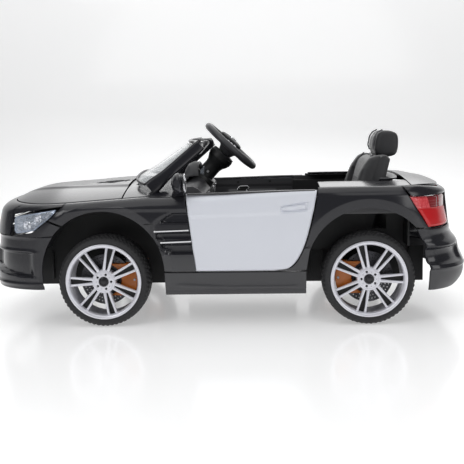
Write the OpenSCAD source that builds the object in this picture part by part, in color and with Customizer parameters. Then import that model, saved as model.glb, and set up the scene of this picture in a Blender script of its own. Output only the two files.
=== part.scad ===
// Ride-on electric patrol car for one child.
// Frame: +X to the car's left, +Y towards its rear, +Z up, origin on the floor under the middle of the car.
// All sizes are in millimetres.

/* [Overall] */
// Overall length, nose to rear bumper
car_length = 1060; // [1000:5:1120]
// Width over the body sides
body_width = 576; // [560:2:600]
// Distance between the two axles
wheelbase = 555; // [545:1:565]
// Sideways distance between the wheel centres
track = 486; // [480:1:492]

/* [Wheels] */
// Outer radius of a tyre
tyre_r = 97; // [88:1:100]
// Width of a tyre
tyre_w = 70; // [54:1:72]
// Radius of the wheel's outer lip
rim_r = 80; // [74:1:82]
// Radius of the axle pins
axle_r = 6; // [4:0.5:7]
// Number of double spokes
spokes = 7; // [5:1:9]
// Radius of a brake disc
disc_r = 54; // [46:1:56]

/* [Body] */
// Thickness of the moulded body shell
shell = 4; // [3:0.5:5]
// Gap between neighbouring panels
seam = 3; // [2:0.5:4]
// Radius of a wheel arch
arch_r = 129; // [126:1:133]
// Height of a wheel arch's centre
arch_z = 116; // [112:1:120]
// Height of the sill's lower edge
sill_z = 67; // [60:1:75]

/* [Doors] */
// Thickness of a door
door_t = 22; // [14:1:26]
// Height of a door's lower edge
door_z = 119; // [112:1:126]

/* [Steering] */
// Outer diameter of the steering wheel
wheel_d = 156; // [140:2:160]
// Thickness of the steering wheel's rim
wheel_t = 17; // [14:1:20]
// Angle of the steering shaft above the horizontal
shaft_tilt = 47; // [46:0.5:48]
// Length of a knuckle's steering arm
arm_len = 42; // [40:1:44]
// Kingpin's distance from the middle of the car
kingpin_x = 190; // [186:1:192]

/* [Hidden] */

$fn = 48;
front_y = -258;               // station of the front axle
rear_y = front_y + wheelbase; // station of the rear axle
axle_z = tyre_r;
nose_y = -car_length / 2;
tail_y = car_length / 2;
wheel_x = track / 2;
play = 0.05;                  // radial clearance of a running fit
gap = 0.4;                    // gap between pieces that sit together
sill_t = 30;                  // depth of a sill
hinge_x = 280;                // axis of a door's hinge
hinge_y = -52;

paint_black = [0.03, 0.03, 0.035];
trim_black = [0.07, 0.07, 0.075];
panel_white = [0.93, 0.93, 0.95];
silver = [0.8, 0.81, 0.84];
steel = [0.6, 0.6, 0.62];
caliper_orange = [0.75, 0.3, 0.05];
lamp_red = [0.7, 0.02, 0.03];
clear_blue = [0.75, 0.85, 0.95, 0.6];

// ---------------------------------------------------------------- body surface

front_cap = -300; // stations where the sides start to round into the nose and the tail
rear_cap = 300;
cap_n = 3.35;
cap_e = 2 / cap_n;
shoulder_h = 20;  // height of the rounding between a side and the top
edge_in = 24;     // how far the bonnet's edge stands in from the side and the nose
tail_in = 12;     // how far the deck's edge stands in from the side and the tail
edge_z = 262;     // height at which those are measured

function mix(a, b, t) = a + (b - a) * t;
function ease(t) = t < 0 ? 0 : t > 1 ? 1 : t * t * (3 - 2 * t);

// Half-width amidships at height z: tucked in at the sill and a little at the belt
function side_x(z) = body_width / 2 - 13 * pow(max(0, z - 200) / 100, 2.2)
    - 18 * pow(max(0, 140 - z) / 72, 2);

// Foremost and rearmost stations at height z
function nose_end(z) = nose_y + 2 + 16 * pow(abs(z - 118) / 120, 2);
function tail_end(z) = tail_y - 2 - 46 * ease((z - 110) / 130) - 16 * pow(max(0, 101 - z) / 32, 2);

// Bonnet height at a point
function bonnet_mid(t) = 303 - 22 * t - 28 * pow(t, 14);
function bonnet_z(x, y) = bonnet_mid(min(1, max(0, (-160 - y) / 335))) - 28 * pow(abs(x) / 255, 2.2);

// How far the rounded shoulder reaches inwards
function shoulder_w(y) = mix(edge_in, tail_in, ease((y + 140) / 80));

// Half-width of the bonnet's edge
function bonnet_half(y, in = edge_in) = (side_x(edge_z) - in)
    * cap((front_cap - y) / (front_cap - nose_end(edge_z) - in));

// Height of the top of the side at a station
function rim_z(y) = y < -100 ? bonnet_z(bonnet_half(y), y)
    : mix(bonnet_z(bonnet_half(-100), -100), 289, ease((y + 100) / 340)) - 22 * pow(max(0, y - 400) / 80, 2);

// Height of the rear deck and of the shelves beside the seat
function deck_z(x, y) = rim_z(y) + 16 * (1 - pow(min(1, abs(x) / 262), 2));

function cap(t) = t <= 0 ? 1 : t >= 1 ? 0 : pow(1 - pow(t, cap_n), 1 / cap_n);

function drop(z, rim, w) = let (t = min(1, max(0, (z - rim + shoulder_h) / shoulder_h)))
    w * (1 - sqrt(max(0, 1 - t * t)));

// Half-width of the outside at a station and a height, moved in by depth
function skin_x(y, z, depth = 0) = let (d = drop(z, rim_z(y), shoulder_w(y)) + depth, w = side_x(z) - d)
    w * (y < front_cap ? cap((front_cap - y) / (front_cap - nose_end(z) - d))
        : y > rear_cap ? cap((y - rear_cap) / (tail_end(z) - rear_cap - d)) : 1);

// Point of the nose at an angle from straight ahead; 90 degrees is the side
function nose_pt(a, z, rim, depth) = let (d = drop(z, rim, edge_in) + depth)
    [sign(a) * (side_x(z) - d) * pow(abs(sin(a)), cap_e),
        front_cap - (front_cap - nose_end(z) - d) * pow(max(0, cos(a)), cap_e), z];
function nose_angle(y, z) = acos(pow(min(1, (front_cap - y) / (front_cap - nose_end(z))), 1 / cap_e));

// Height of the bonnet's edge at an angle from straight ahead
function nose_rim(a) = let (x = (side_x(edge_z) - edge_in) * pow(abs(sin(a)), cap_e),
    y = front_cap - (front_cap - nose_end(edge_z) - edge_in) * pow(max(0, cos(a)), cap_e)) bonnet_z(x, y);

// Point of the tail at an angle from straight behind; 90 degrees is the side
function tail_pt(a, z, rim, depth) = let (d = drop(z, rim, tail_in) + depth)
    [-sign(a) * (side_x(z) - d) * pow(abs(sin(a)), cap_e),
        rear_cap + (tail_end(z) - rear_cap - d) * pow(max(0, cos(a)), cap_e), z];
function tail_angle(y, z) = acos(pow(min(1, (y - rear_cap) / (tail_end(z) - rear_cap)), 1 / cap_e));

// Station of a wheel arch's edge at height z, on its front (-1) or rear (1) side
function arch_y(axle, z, way, r = arch_r) = axle + way * sqrt(max(0, r * r - pow(max(0, z - arch_z), 2)));

// Point of a wheel arch's edge at an angle above straight back
function arch_edge(axle, a) = [axle + (arch_r + 1) * cos(a), arch_z + (arch_r + 1) * sin(a)];

// Point part of the way along a list of points
function along(p, t) = let (s = min(len(p) - 1.0001, t * (len(p) - 1)), i = floor(s))
    mix(p[i], p[i + 1], s - i);

// Points of the side at given [station, height] places, moved in by depth
function on_side(rows, depth) = [for (row = rows) [for (p = row) [skin_x(p[0], p[1], depth), p[0], p[1]]]];

// Closed sheet between an outer and an inner grid of points
module sheet(a, b) {
    nu = len(a);
    nv = len(a[0]);
    function id(i, j, s) = s * nu * nv + i * nv + j;
    function quad(p, q, r, s) = [[p, q, r], [p, r, s]];
    u = nu - 1;
    v = nv - 1;
    cells = [for (i = [0:u - 1], j = [0:v - 1]) [i, j]];
    faces = [
        for (c = cells, i = [c[0]], j = [c[1]])
            each quad(id(i, j, 0), id(i, j + 1, 0), id(i + 1, j + 1, 0), id(i + 1, j, 0)),
        for (c = cells, i = [c[0]], j = [c[1]])
            each quad(id(i, j, 1), id(i + 1, j, 1), id(i + 1, j + 1, 1), id(i, j + 1, 1)),
        for (i = [0:u - 1]) each quad(id(i, 0, 1), id(i, 0, 0), id(i + 1, 0, 0), id(i + 1, 0, 1)),
        for (i = [0:u - 1]) each quad(id(i, v, 0), id(i, v, 1), id(i + 1, v, 1), id(i + 1, v, 0)),
        for (j = [0:v - 1]) each quad(id(0, j, 1), id(0, j + 1, 1), id(0, j + 1, 0), id(0, j, 0)),
        for (j = [0:v - 1]) each quad(id(u, j, 0), id(u, j + 1, 0), id(u, j + 1, 1), id(u, j, 1))
    ];
    polyhedron(concat([for (row = a) each row], [for (row = b) each row]), faces);
}

// Left side panel between a lower and an upper line of [station, height] points
module side_panel(low, high, columns, rows, thick, lift = 0) {
    function at(s, t) = mix(along(low, s), along(high, s), t * (2 - t));
    places = [for (i = [0:columns]) [for (j = [0:rows]) at(i / columns, j / rows)]];
    sheet(on_side(places, -lift), on_side(places, thick - lift));
}

// Tube of round section along a path in space, with flat ends square to the X or Y axis
module rail(path, r, sides = 12) {
    last = len(path) - 1;
    function dir(i) = let (v = path[min(last, i + 1)] - path[max(0, i - 1)]) v / norm(v);
    function ring(i) = let (d = dir(i), u = cross(d, [0, 1, 0.01]), e = u / norm(u), f = cross(d, e))
        [for (k = [0:sides - 1]) path[i] + r * (cos(360 * k / sides) * e + sin(360 * k / sides) * f)];
    function id(i, k) = i * sides + k % sides;
    polyhedron([for (i = [0:last]) each ring(i)], [
        [for (k = [0:sides - 1]) k],
        for (i = [0:last - 1], k = [0:sides - 1]) each [[id(i, k), id(i + 1, k), id(i + 1, k + 1)],
            [id(i, k), id(i + 1, k + 1), id(i, k + 1)]],
        [for (k = [0:sides - 1]) last * sides + sides - 1 - k]
    ]);
}

module both_sides() {
    children();
    mirror([1, 0, 0]) children();
}

// Cylinder along +X from x0 to x1 at a station and height
module x_rod(x0, x1, y, z, r) {
    translate([x0, y, z]) rotate([0, 90, 0]) cylinder(h = x1 - x0, r = r);
}

module box(low, high) {
    translate(low) cube(high - low);
}

// ---------------------------------------------------------------- body panels

lamp_front = -452; // stations where a headlight starts and ends
lamp_tip = -338;

nose_low = 194;    // top of the front bumper

// Lower and upper edges of the headlight as heights for each station
function lamp_low(y) = y < -400 ? mix(197, 205, (y + 452) / 52) : mix(205, 252, (y + 400) / 62);
function lamp_high(y) = mix(238, 256, (y - lamp_front) / (lamp_tip - lamp_front));

// Opening with round ends
module intake(half, high) {
    hull() both_sides() translate([half - high / 2, 0]) circle(r = high / 2, $fn = 32);
}

module front_bumper() {
    rows = [80, 92, 110, 135, 160, 180, nose_low];
    cols = 14;
    function reach(z) = nose_angle(arch_y(front_y, z, -1, arch_r + 1), z);
    function grid(depth) = [for (i = [-cols:cols])
        [for (z = rows) nose_pt(reach(z) * i / cols, z, 300, depth)]];
    filler = [-446, -434, -420, -406, -394, -382, -371];
    color(paint_black) {
        difference() {
            sheet(grid(0), grid(shell));
            translate([0, nose_y + 60, 130]) rotate([90, 0, 0]) linear_extrude(80) intake(150, 56);
        }
        both_sides() side_panel(
            [for (i = [0, 2, 4]) [filler[i], nose_low + gap],
                for (a = [142, 138, 134, 131]) arch_edge(front_y, a)],
            [for (y = filler) [y, lamp_low(y) - 1]], 12, 3, shell);
    }
}

module nose_panel() {
    cols = 20;
    lamp_a = nose_angle(lamp_front, 220);
    tip_a = nose_angle(lamp_tip - 4, 240);
    function low(a) = abs(a) < lamp_a - 1 ? nose_low + seam
        : mix(240, 257, (abs(a) - lamp_a) / (tip_a - lamp_a));
    function angles() = let (n = cols / 2) [for (i = [-n:-1]) mix(-tip_a, -lamp_a - 0.5, (i + n) / (n - 1)),
        for (i = [-n:n]) (lamp_a - 1.5) * i / n, for (i = [1:n]) mix(lamp_a + 0.5, tip_a, (i - 1) / (n - 1))];
    function grid(depth) = [for (a = angles()) [for (t = [0, 0.25, 0.5, 0.7, 0.85, 0.95, 1])
        nose_pt(a, mix(low(a), nose_rim(a) - 0.2, t), nose_rim(a), depth)]];
    color(paint_black) difference() {
        sheet(grid(0), grid(shell));
        translate([0, nose_y + 70, 219]) rotate([90, 0, 0]) linear_extrude(80) intake(118, 30);
    }
}

module grille() {
    color(silver) for (z = [106, 118, 130, 142, 154])
        slat(z, 132, 26);
    color(trim_black) for (z = [211, 219, 227])
        slat(z, 100, 20);
}

// Bar of a grille that follows the nose, standing behind its opening
module slat(z, half, back) {
    a = asin(pow(half / (side_x(z) - back), 1 / cap_e));
    function row(depth) = [for (i = [-8:8]) let (p = nose_pt(a * i / 8, z, 400, depth))
        [for (h = [z - 2, z + 2]) [p[0], p[1], h]]];
    sheet(row(shell + 1.5), row(shell + 6));
}

cowl_front = -215;
cowl_back = -110;

module bonnet() {
    front = front_cap - (front_cap - nose_end(edge_z) - edge_in - seam) * 0.995;
    back = cowl_front - seam;
    function point(u, v, depth) = let (y = mix(front, back, 1 - pow(1 - v, 2)),
        x = u * bonnet_half(y, edge_in + seam)) [x, y, bonnet_z(x, y) - depth];
    function grid(depth) = [for (u = [-8:8]) [for (v = [0:12]) point(u / 8, v / 12, depth)]];
    color(paint_black) sheet(grid(0), grid(shell));
}

module cowl() {
    stations = [cowl_front, -190, -160, -130, cowl_back];
    function point(u, y, depth) = let (x = u * (bonnet_half(y) - seam))
        [x, y, bonnet_z(x, min(y, -165)) - depth];
    function grid(depth) = [for (u = [-8:8]) [for (y = stations) point(u / 8, y, depth)]];
    color(trim_black) sheet(grid(0), grid(shell));
}

module fender() {
    low = [for (i = [0:16]) arch_edge(front_y, 129 - 128 * i / 16)];
    high = [[-367, lamp_low(-367) - 1], [-352, lamp_low(-352) - 1], [lamp_tip + 2, rim_z(lamp_tip + 2) - 0.2],
        for (i = [1:13]) let (y = mix(lamp_tip + 2, -120, i / 13)) [y, rim_z(y) - 0.2]];
    color(paint_black) {
        side_panel(low, high, 20, 5, shell);
        side_panel([[-120 - 9 + 2.5, arch_z + 4], [-66, arch_z + 4]],
            [[-119, rim_z(-119) - 0.2], [-84, rim_z(-84) - 0.2]], 3, 6, shell);
    }
}

module fender_left() { fender(); }
module fender_right() { mirror([1, 0, 0]) fender(); }

module headlight() {
    stations = [for (i = [0:10]) mix(lamp_front + 7, lamp_tip - 16, i / 10)];
    low = [for (y = stations) [y, lamp_low(y) + 2]];
    high = [for (y = stations) [y, lamp_high(y) - 3]];
    color(clear_blue) side_panel(low, high, 10, 4, 12);
}

module headlight_left() { headlight(); }
module headlight_right() { mirror([1, 0, 0]) headlight(); }

module sills() {
    r = arch_r + 1;
    low = [for (y = [arch_y(front_y, sill_z, 1, r), 0, arch_y(rear_y, sill_z, -1, r)]) [y, sill_z]];
    high = [for (y = [arch_edge(front_y, 1)[0], 0, arch_edge(rear_y, 179)[0]]) [y, door_z - seam]];
    color(paint_black) both_sides() {
        side_panel(low, high, 8, 4, sill_t);
        translate([hinge_x, hinge_y, door_z - 20]) cylinder(h = 44, r = 3);
    }
}

// Rear edge of the door as a station for each height
function door_back(z) = mix(102, 190, pow((z - door_z) / 165, 0.32));
function door_fore(z) = mix(-62, -81, (z - door_z) / 160);
function door_top(y) = 279 + 4 * ease((y + 80) / 240);

// Door leaf from the outside to an inner face at a distance from the middle
module door_shape(inside) {
    function edge(i, t) = let (z = mix(door_z, door_top(mix(-80, 188, i / 10)), t))
        [mix(door_fore(z), door_back(z), i / 10), z];
    places = [for (i = [0:10]) [for (j = [0:7]) edge(i, j / 7)]];
    sheet(on_side(places, 0), [for (row = places) [for (p = row) [inside, p[0], p[1]]]]);
}

module door() {
    color(panel_white) difference() {
        door_shape(side_x(200) - door_t);
        translate([hinge_x, hinge_y, door_z - 1]) cylinder(h = 28, r = 3 + play);
    }
}

module door_left() { door(); }
module door_right() { mirror([1, 0, 0]) door(); }

module door_trim() {
    x = side_x(200) - door_t - gap;
    color(trim_black) box([x - 3, -50, 140], [x, 120, 258]);
    color(silver) box([x - 14, 10, 236], [x - 3, 60, 246]);
}
module door_trim_left() { door_trim(); }
module door_trim_right() { mirror([1, 0, 0]) door_trim(); }

wing_y = 197;      // station where the quarter's main panel starts at its top
deck_y = 386;      // station where the deck behind the seat starts

module quarter() {
    function edge(i, t) = let (z = mix(door_z, rim_z(194) - 0.2, t), a = door_back(min(z, 284)) + seam)
        [mix(a, max(a + 2, mix(rear_y - arch_r - 3, wing_y, pow(t, 3)) - 1), i / 3), z];
    places = [for (i = [0:3]) [for (j = [0:8]) edge(i, j / 8)]];
    low = [for (i = [0:14]) arch_edge(rear_y, 179 - 137 * i / 14), [406, 203], [418, 203]];
    high = [for (i = [0:16]) let (y = mix(wing_y, 363.5, i / 16)) [y, rim_z(y) - 0.2]];
    color(paint_black) {
        side_panel(low, high, 20, 6, shell);
        sheet(on_side(places, 0), on_side(places, shell));
    }
}
module quarter_left() { quarter(); }
module quarter_right() { mirror([1, 0, 0]) quarter(); }

function deck_edge(y) = skin_x(y, rim_z(y) - 0.2, shell + 1);

module rear_deck() {
    shelf_x = 187;
    function point(x, y, depth) = [x, y, deck_z(x, y) - depth];
    function deck(depth) = [for (i = [-8:8]) [for (y = [deck_y, 400, 416, 432, 448, 458, 464])
        point(i / 8 * deck_edge(y), y, depth)]];
    function side(depth) = [for (i = [0:3]) [for (y = [wing_y:17:deck_y - 2])
        point(mix(shelf_x, deck_edge(y), i / 3), y, depth)]];
    color(paint_black) {
        sheet(deck(0), deck(shell));
        both_sides() sheet(side(0), side(shell));
    }
}

bumper_top = 200;

module rear_bumper() {
    rows = [68, 76, 88, 101, 120, 140, 160, 180, bumper_top];
    cols = 14;
    function reach(z) = tail_angle(arch_y(rear_y, z, 1, arch_r + 1), z);
    function grid(depth) = [for (i = [-cols:cols])
        [for (z = rows) tail_pt(reach(z) * i / cols, z, 300, depth)]];
    color(paint_black) sheet(grid(0), grid(shell));
}

// Angles from straight behind at which a tail light starts, and ends at its foot and its top
lamp_in = 26;
function lamp_out(z) = tail_angle(mix(422, 380, (z - 203) / 66), z);
function tail_rim(a) = let (p = tail_pt(a, edge_z, 300, tail_in)) deck_z(p[0], p[1]);

module tail_panel() {
    strip = 269;
    function low(f) = abs(f) > 1 ? strip : bumper_top + seam;
    function angle(f, z) = abs(f) <= 1 ? f * (lamp_in - 1)
        : sign(f) * mix(lamp_in - 0.7, tail_angle(mix(381.5, 368.5, (z - strip) / 20), z), abs(f) - 1);
    function point(f, t, depth) = let (rim = tail_rim(angle(f, 290)), z = mix(low(f), rim - 0.2, t))
        tail_pt(angle(f, max(z, strip)), z, rim, depth);
    shares = [each [-2:0.125:-1.125], -1.001, for (i = [-8:8]) i / 8, 1.001, each [1.125:0.125:2]];
    function grid(depth) = [for (f = shares) [for (t = [0, 0.3, 0.6, 0.8, 0.92, 1]) point(f, t, depth)]];
    color(paint_black) sheet(grid(0), grid(shell));
}

module tail_light() {
    function grid(depth) = [for (i = [0:14]) [for (j = [0:6]) let (z = mix(bumper_top + seam, 267, j / 6))
        tail_pt(mix(lamp_in + 0.8, lamp_out(z), i / 14), z, 290, depth)]];
    color(lamp_red) mirror([1, 0, 0]) sheet(grid(0), grid(14));
}
module tail_light_left() { tail_light(); }
module tail_light_right() { mirror([1, 0, 0]) tail_light(); }

module side_vents() {
    color(silver) both_sides() for (strip = [[179, -134, -70], [202, -145, -75]]) {
        low = [for (i = [1, 2]) [strip[i], strip[0] + 2 * i - 2]];
        side_panel(low, [for (p = low) p + [0, 3]], 6, 2, 2, 2 + gap);
    }
}

// ---------------------------------------------------------------- windscreen

// Point of the screen: u from -1 to 1 across it, t from 0 at its foot to 1 at its top
function screen_x(u, t) = u * mix(228, 200, t);
function screen_y(u, t) = -208 + 47 * pow(abs(u), 6) + t * mix(142, 113, abs(u));
function screen_z(u, t) = mix(309 - 22 * u * u, 389 - 6 * u * u, t);
function screen_pt(u, t) = [screen_x(u, t), screen_y(u, t), screen_z(u, t)];

module windscreen() {
    function grid(d) = [for (i = [-8:8])
        [for (j = [0:6]) screen_pt(i / 8.8, mix(0.03, 0.92, j / 6)) + [0, d, -d]]];
    color(clear_blue) sheet(grid(0), grid(1.8));
}

module windscreen_frame() {
    left = [for (t = [0:6]) screen_pt(1, 0.06 + t / 7)];
    top = [for (i = [6:-1:-6]) screen_pt(i / 6.6, 1)];
    right = [for (t = [6:-1:0]) screen_pt(-1, 0.06 + t / 7)];
    color(paint_black) rail(concat(left, top, right), 8, 10);
}

// ---------------------------------------------------------------- cabin

floor_z = 72;
tub_x = 158;    // half-width of the tub's middle part
wheel_z = 371;  // height of the steering wheel's middle

module floor_pan() {
    color(trim_black) difference() {
        union() {
            box([-tub_x, -420, floor_z], [tub_x, -292, floor_z + shell]);
            box([-tub_x, -292, 136], [tub_x, -174, 140]);
            box([-tub_x, -178, floor_z], [tub_x, 430, floor_z + 4]);
            for (y = [-292, -178]) box([-tub_x, y, floor_z], [tub_x, y + 4, 140]);
            box([-240, -118, floor_z], [240, 156, floor_z + 4]);
            box([-tub_x, -420, floor_z], [tub_x, -416, 250]);
            box([-236, -118, floor_z], [236, -114, 262]);
            box([-236, 382, 160], [236, 386, 276]);
            box([-tub_x, 382, floor_z], [tub_x, 386, 200]);
            both_sides() {
                box([tub_x - 4, -420, floor_z], [tub_x, -114, 250]);
                box([tub_x - 4, 156, floor_z], [tub_x, 430, 150]);
                box([180, 156, 150], [184, 386, 276]);
                box([tub_x - 4, 156, 148], [184, 386, 152]);
            }
        }
        box([-tub_x - 1, -288, 60], [tub_x + 1, -178, 128]);
        box([-tub_x - 1, rear_y - 30, 60], [tub_x + 1, rear_y + 30, 128]);
        box([-38, -250, 130], [38, -160, 150]);
        box([-200, rear_y + 5, 190], [200, rear_y + 48, 240]);
        along_shaft(0) cylinder(h = 900, r = 14, center = true);
    }
}

dash_outline = [[-108, 262], [-108, 286], [-70, 293], [-44, 274], [-52, 236], [-60, 232], [-66, 262]];

// Extrusion of a side view, drawn as [station, height], between two distances from the middle
module side_profile(x0, x1) {
    translate([x0, 0, 0]) rotate([90, 0, 90]) linear_extrude(x1 - x0) children();
}

module dashboard() {
    color(trim_black) difference() {
        side_profile(-232, 232) polygon(dash_outline);
        side_profile(-228, 228) offset(delta = -5)
            polygon([[-140, 190], [-140, 276], for (i = [1:4]) dash_outline[i]]);
        column_cone(1);
        along_shaft(column_from + 60) cylinder(h = 60, r = 36);
    }
}

// Frame on the steering shaft: +Z up the shaft, origin s along it from the wheel's middle
module along_shaft(s) {
    translate([0, 4, wheel_z]) rotate([shaft_tilt - 90, 0, 0]) translate([0, 0, -s]) children();
}

column_from = 128; // how far below the wheel's middle the column cover starts and ends
column_to = 32;

// Cone of the column cover, grown by extra; a grown one has no bore for the shaft
module column_cone(extra) {
    long = column_from - column_to;
    bore = extra > 0 ? 0 : 7.5;
    along_shaft(column_from) rotate_extrude()
        polygon([[bore, 0], [34 + extra, 0], [24 + extra, long], [bore, long]]);
}

module steering_column() {
    color(trim_black) column_cone(0);
}

seat_half = 150;

// Seat shell: cushion and backrest bent from one sheet, with side bolsters, and a headrest on top
module seat() {
    base = [[84, 100], [84, 132], [100, 146], [262, 130], [276, 136], [332, 350], [356, 350], [366, 338],
        [306, 116], [286, 112], [270, 114], [108, 126], [108, 100]];
    bolster = [[100, 146.4], [112, 166], [236, 158], [286, 262], [296, 300], [332, 330], [276, 136.4],
        [262, 130.4]];
    head = [[334, 352], [338, 396], [350, 405], [384, 398], [392, 382], [384, 345], [360, 350.4]];
    color(trim_black) {
        side_profile(-seat_half, seat_half) polygon(base);
        both_sides() side_profile(seat_half - 40, seat_half - 4) polygon(bolster);
        side_profile(-52, 52) polygon(head);
    }
}

module mirror_piece() {
    color(trim_black) hull() {
        translate([292, -93, 302]) resize([44, 32, 50]) sphere(r = 20, $fn = 20);
        translate([262, -95, 287]) sphere(r = 5, $fn = 12);
    }
}
module mirror_left() { mirror_piece(); }
module mirror_right() { mirror([1, 0, 0]) mirror_piece(); }

module battery() {
    color(steel) box([-75, -398, floor_z + 4 + gap], [75, -300, floor_z + 104]);
}

module foot_pedal() {
    color(silver) translate([-70, -92, floor_z + 4 + gap]) rotate([90, 0, 90]) linear_extrude(60)
        polygon([[0, 0], [60, 0], [60, 6], [4, 44], [0, 44]]);
}

// ---------------------------------------------------------------- axles and steering

ear_low = [66, 74];
ear_high = [120, 128];
king_r = 5;

module front_axle_beam() {
    color(steel) difference() {
        union() {
            box([-168, front_y - 12, 84], [168, front_y + 12, 110]);
            both_sides() for (z = [ear_low, ear_high]) {
                translate([kingpin_x, front_y, z[0]]) cylinder(h = z[1] - z[0], r = 11);
                box([152, front_y - 11, z[0]], [kingpin_x, front_y + 11, z[1]]);
            }
            both_sides() box([152, front_y - 11, ear_low[0]], [168, front_y + 11, ear_high[1]]);
        }
        both_sides() translate([kingpin_x, front_y, 50]) cylinder(h = 100, r = king_r + play);
    }
}

// Box between two distances from the middle on one side of the car, corners given as [station, height]
module side_span(side, x0, x1, low, high) {
    box([min(side * x0, side * x1), low[0], low[1]], [max(side * x0, side * x1), high[0], high[1]]);
}

caliper_in = wheel_x - 18; // inner face of a caliper
spindle_x = wheel_x + 26;  // end of an axle pin

module knuckle(side) {
    low = ear_low[1] + gap;
    high = ear_high[0] - gap;
    color(steel) difference() {
        union() {
            translate([side * kingpin_x, front_y, low]) cylinder(h = high - low, r = 10);
            translate([side * kingpin_x, front_y, ear_low[0] - 6])
                cylinder(h = ear_high[1] - ear_low[0] + 12, r = king_r);
            x_rod(min(side * kingpin_x, side * spindle_x), max(side * kingpin_x, side * spindle_x), front_y,
                axle_z, axle_r);
            box([side * kingpin_x - 7, front_y, 84], [side * kingpin_x + 7, front_y + arm_len, 92]);
            translate([side * kingpin_x, front_y + arm_len, 84]) cylinder(h = 8, r = 9);
            side_span(side, kingpin_x - 7, kingpin_x + 7, [front_y, 98], [front_y + 54, 108]);
            side_span(side, kingpin_x - 7, caliper_in - gap, [front_y + 38, 98], [front_y + 54, 108]);
        }
        translate([side * kingpin_x, front_y + arm_len, 80]) cylinder(h = 16, r = 3 + play);
    }
}
module knuckle_left() { knuckle(1); }
module knuckle_right() { knuckle(-1); }

// Caliper around the brake disc, behind the axle (1) or ahead of it (-1)
module caliper(way) {
    disc = wheel_x - 2;
    color(caliper_orange) difference() {
        intersection() {
            x_rod(caliper_in, disc + 10, 0, 0, 68);
            box([disc - 20, way < 0 ? -70 : 14, -34], [disc + 20, way < 0 ? -14 : 70, 34]);
        }
        x_rod(disc - 5, disc + 5, 0, 0, disc_r + 4);
        x_rod(disc - 4, disc + 20, 0, 0, 34);
        x_rod(disc - 20, disc + 20, 0, 0, 22);
    }
}

module front_caliper_left() { translate([0, front_y, axle_z]) caliper(1); }
module front_caliper_right() { mirror([1, 0, 0]) front_caliper_left(); }
module rear_calipers() { both_sides() translate([0, rear_y, axle_z]) caliper(-1); }

module tie_rod() {
    color(steel) {
        difference() {
            union() {
                box([-kingpin_x, front_y + arm_len - 5, 74], [kingpin_x, front_y + arm_len + 5, 82]);
                both_sides() translate([kingpin_x, front_y + arm_len, 74]) cylinder(h = 8, r = 9);
                crank_frame() box([-12, -12, -2.5], [12, 28, 2.5]);
                box([-12, front_y + arm_len - 5, 74], [12, front_y + arm_len + 24, 86]);
            }
            crank_frame() {
                for (y = [-5.5, 1]) translate([0, y, -10]) cylinder(h = 20, r = slot_r);
                translate([-slot_r, -5.5, -10]) cube([2 * slot_r, 6.5, 20]);
            }
        }
        both_sides() translate([kingpin_x, front_y + arm_len, 78]) cylinder(h = 18, r = 3);
    }
}

crank = arm_len * sin(22) / sin(44);
crank_s = 345; // how far down the shaft the tie rod's slot is
slot_r = 5.2;

// Frame at the crank pin: +Z up the shaft, +Y down across it
module crank_frame() {
    along_shaft(crank_s) translate([0, crank, 0]) children();
}

module steering_shaft() {
    color(steel) {
        along_shaft(318) cylinder(h = 300, r = 6);
        along_shaft(326) translate([-7, -7, 0]) cube([14, crank + 14, 8]);
        along_shaft(crank_s + 10) translate([0, crank, 0]) cylinder(h = 20, r = 4.5);
    }
}

module steering_wheel() {
    r = (wheel_d - wheel_t) / 2;
    color(trim_black) along_shaft(0) {
        difference() {
            union() {
                rotate_extrude() translate([r, 0]) circle(d = wheel_t);
                translate([0, 0, -8]) cylinder(h = 16, r = 30);
                for (a = [0, 180, 270]) rotate([0, 0, a]) box([24, -12, -5], [r, 12, 5]);
            }
            translate([0, 0, -30]) cylinder(h = 34, r = 6);
        }
    }
}

// ---------------------------------------------------------------- wheels

module tyre(side, y) {
    w = tyre_w / 2;
    color(trim_black) translate([side * wheel_x, y, axle_z]) rotate([0, 90, 0]) rotate_extrude() polygon([
        [rim_r - 2, -w + 3], [rim_r + 2, -w], [tyre_r - 7, -w], [tyre_r - 2, -w + 4], [tyre_r, -w + 12],
        [tyre_r, w - 12], [tyre_r - 2, w - 4], [tyre_r - 7, w], [rim_r + 2, w], [rim_r - 2, w - 3]]);
}

module wheel(side, y, turn) {
    w = tyre_w / 2;
    out = w - 4;
    rim_line = [[rim_r - 8, -w + 4], [rim_r - 2.4, -w + 4], [rim_r - 2.4, w - 2.6], [rim_r, w - 1],
        [rim_r - 2, w + 1], [rim_r - 8, w - 1]];
    place = [side * wheel_x, y, axle_z];
    color(silver) translate(place) mirror([side < 0 ? 1 : 0, 0, 0]) rotate([turn, 0, 0]) difference() {
        union() {
            rotate([0, 90, 0]) rotate_extrude() polygon(rim_line);
            x_rod(-26, out, 0, 0, 13);
            x_rod(14, out, 0, 0, 24);
            for (k = [0:spokes - 1]) rotate([360 * k / spokes, 0, 0])
                for (s = [-1, 1]) rotate([s * 5.5, 0, 0]) box([16, 18, -2.5], [out - 3, rim_r - 6, 2.5]);
            rotate([0, 90, 0]) translate([0, 0, -4.5]) cylinder(h = 5, r = disc_r);
        }
        x_rod(-60, w - 8, 0, 0, axle_r + play);
    }
}

module tyre_front_left() { tyre(1, front_y); }
module tyre_front_right() { tyre(-1, front_y); }
module tyre_rear_left() { tyre(1, rear_y); }
module tyre_rear_right() { tyre(-1, rear_y); }
module wheel_front_left() { wheel(1, front_y, 180); }
module wheel_front_right() { wheel(-1, front_y, 180); }
module wheel_rear_left() { wheel(1, rear_y, 0); }
module wheel_rear_right() { wheel(-1, rear_y, 0); }

module rear_axle() {
    color(steel) x_rod(-spindle_x, spindle_x, rear_y, axle_z, axle_r);
}

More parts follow.
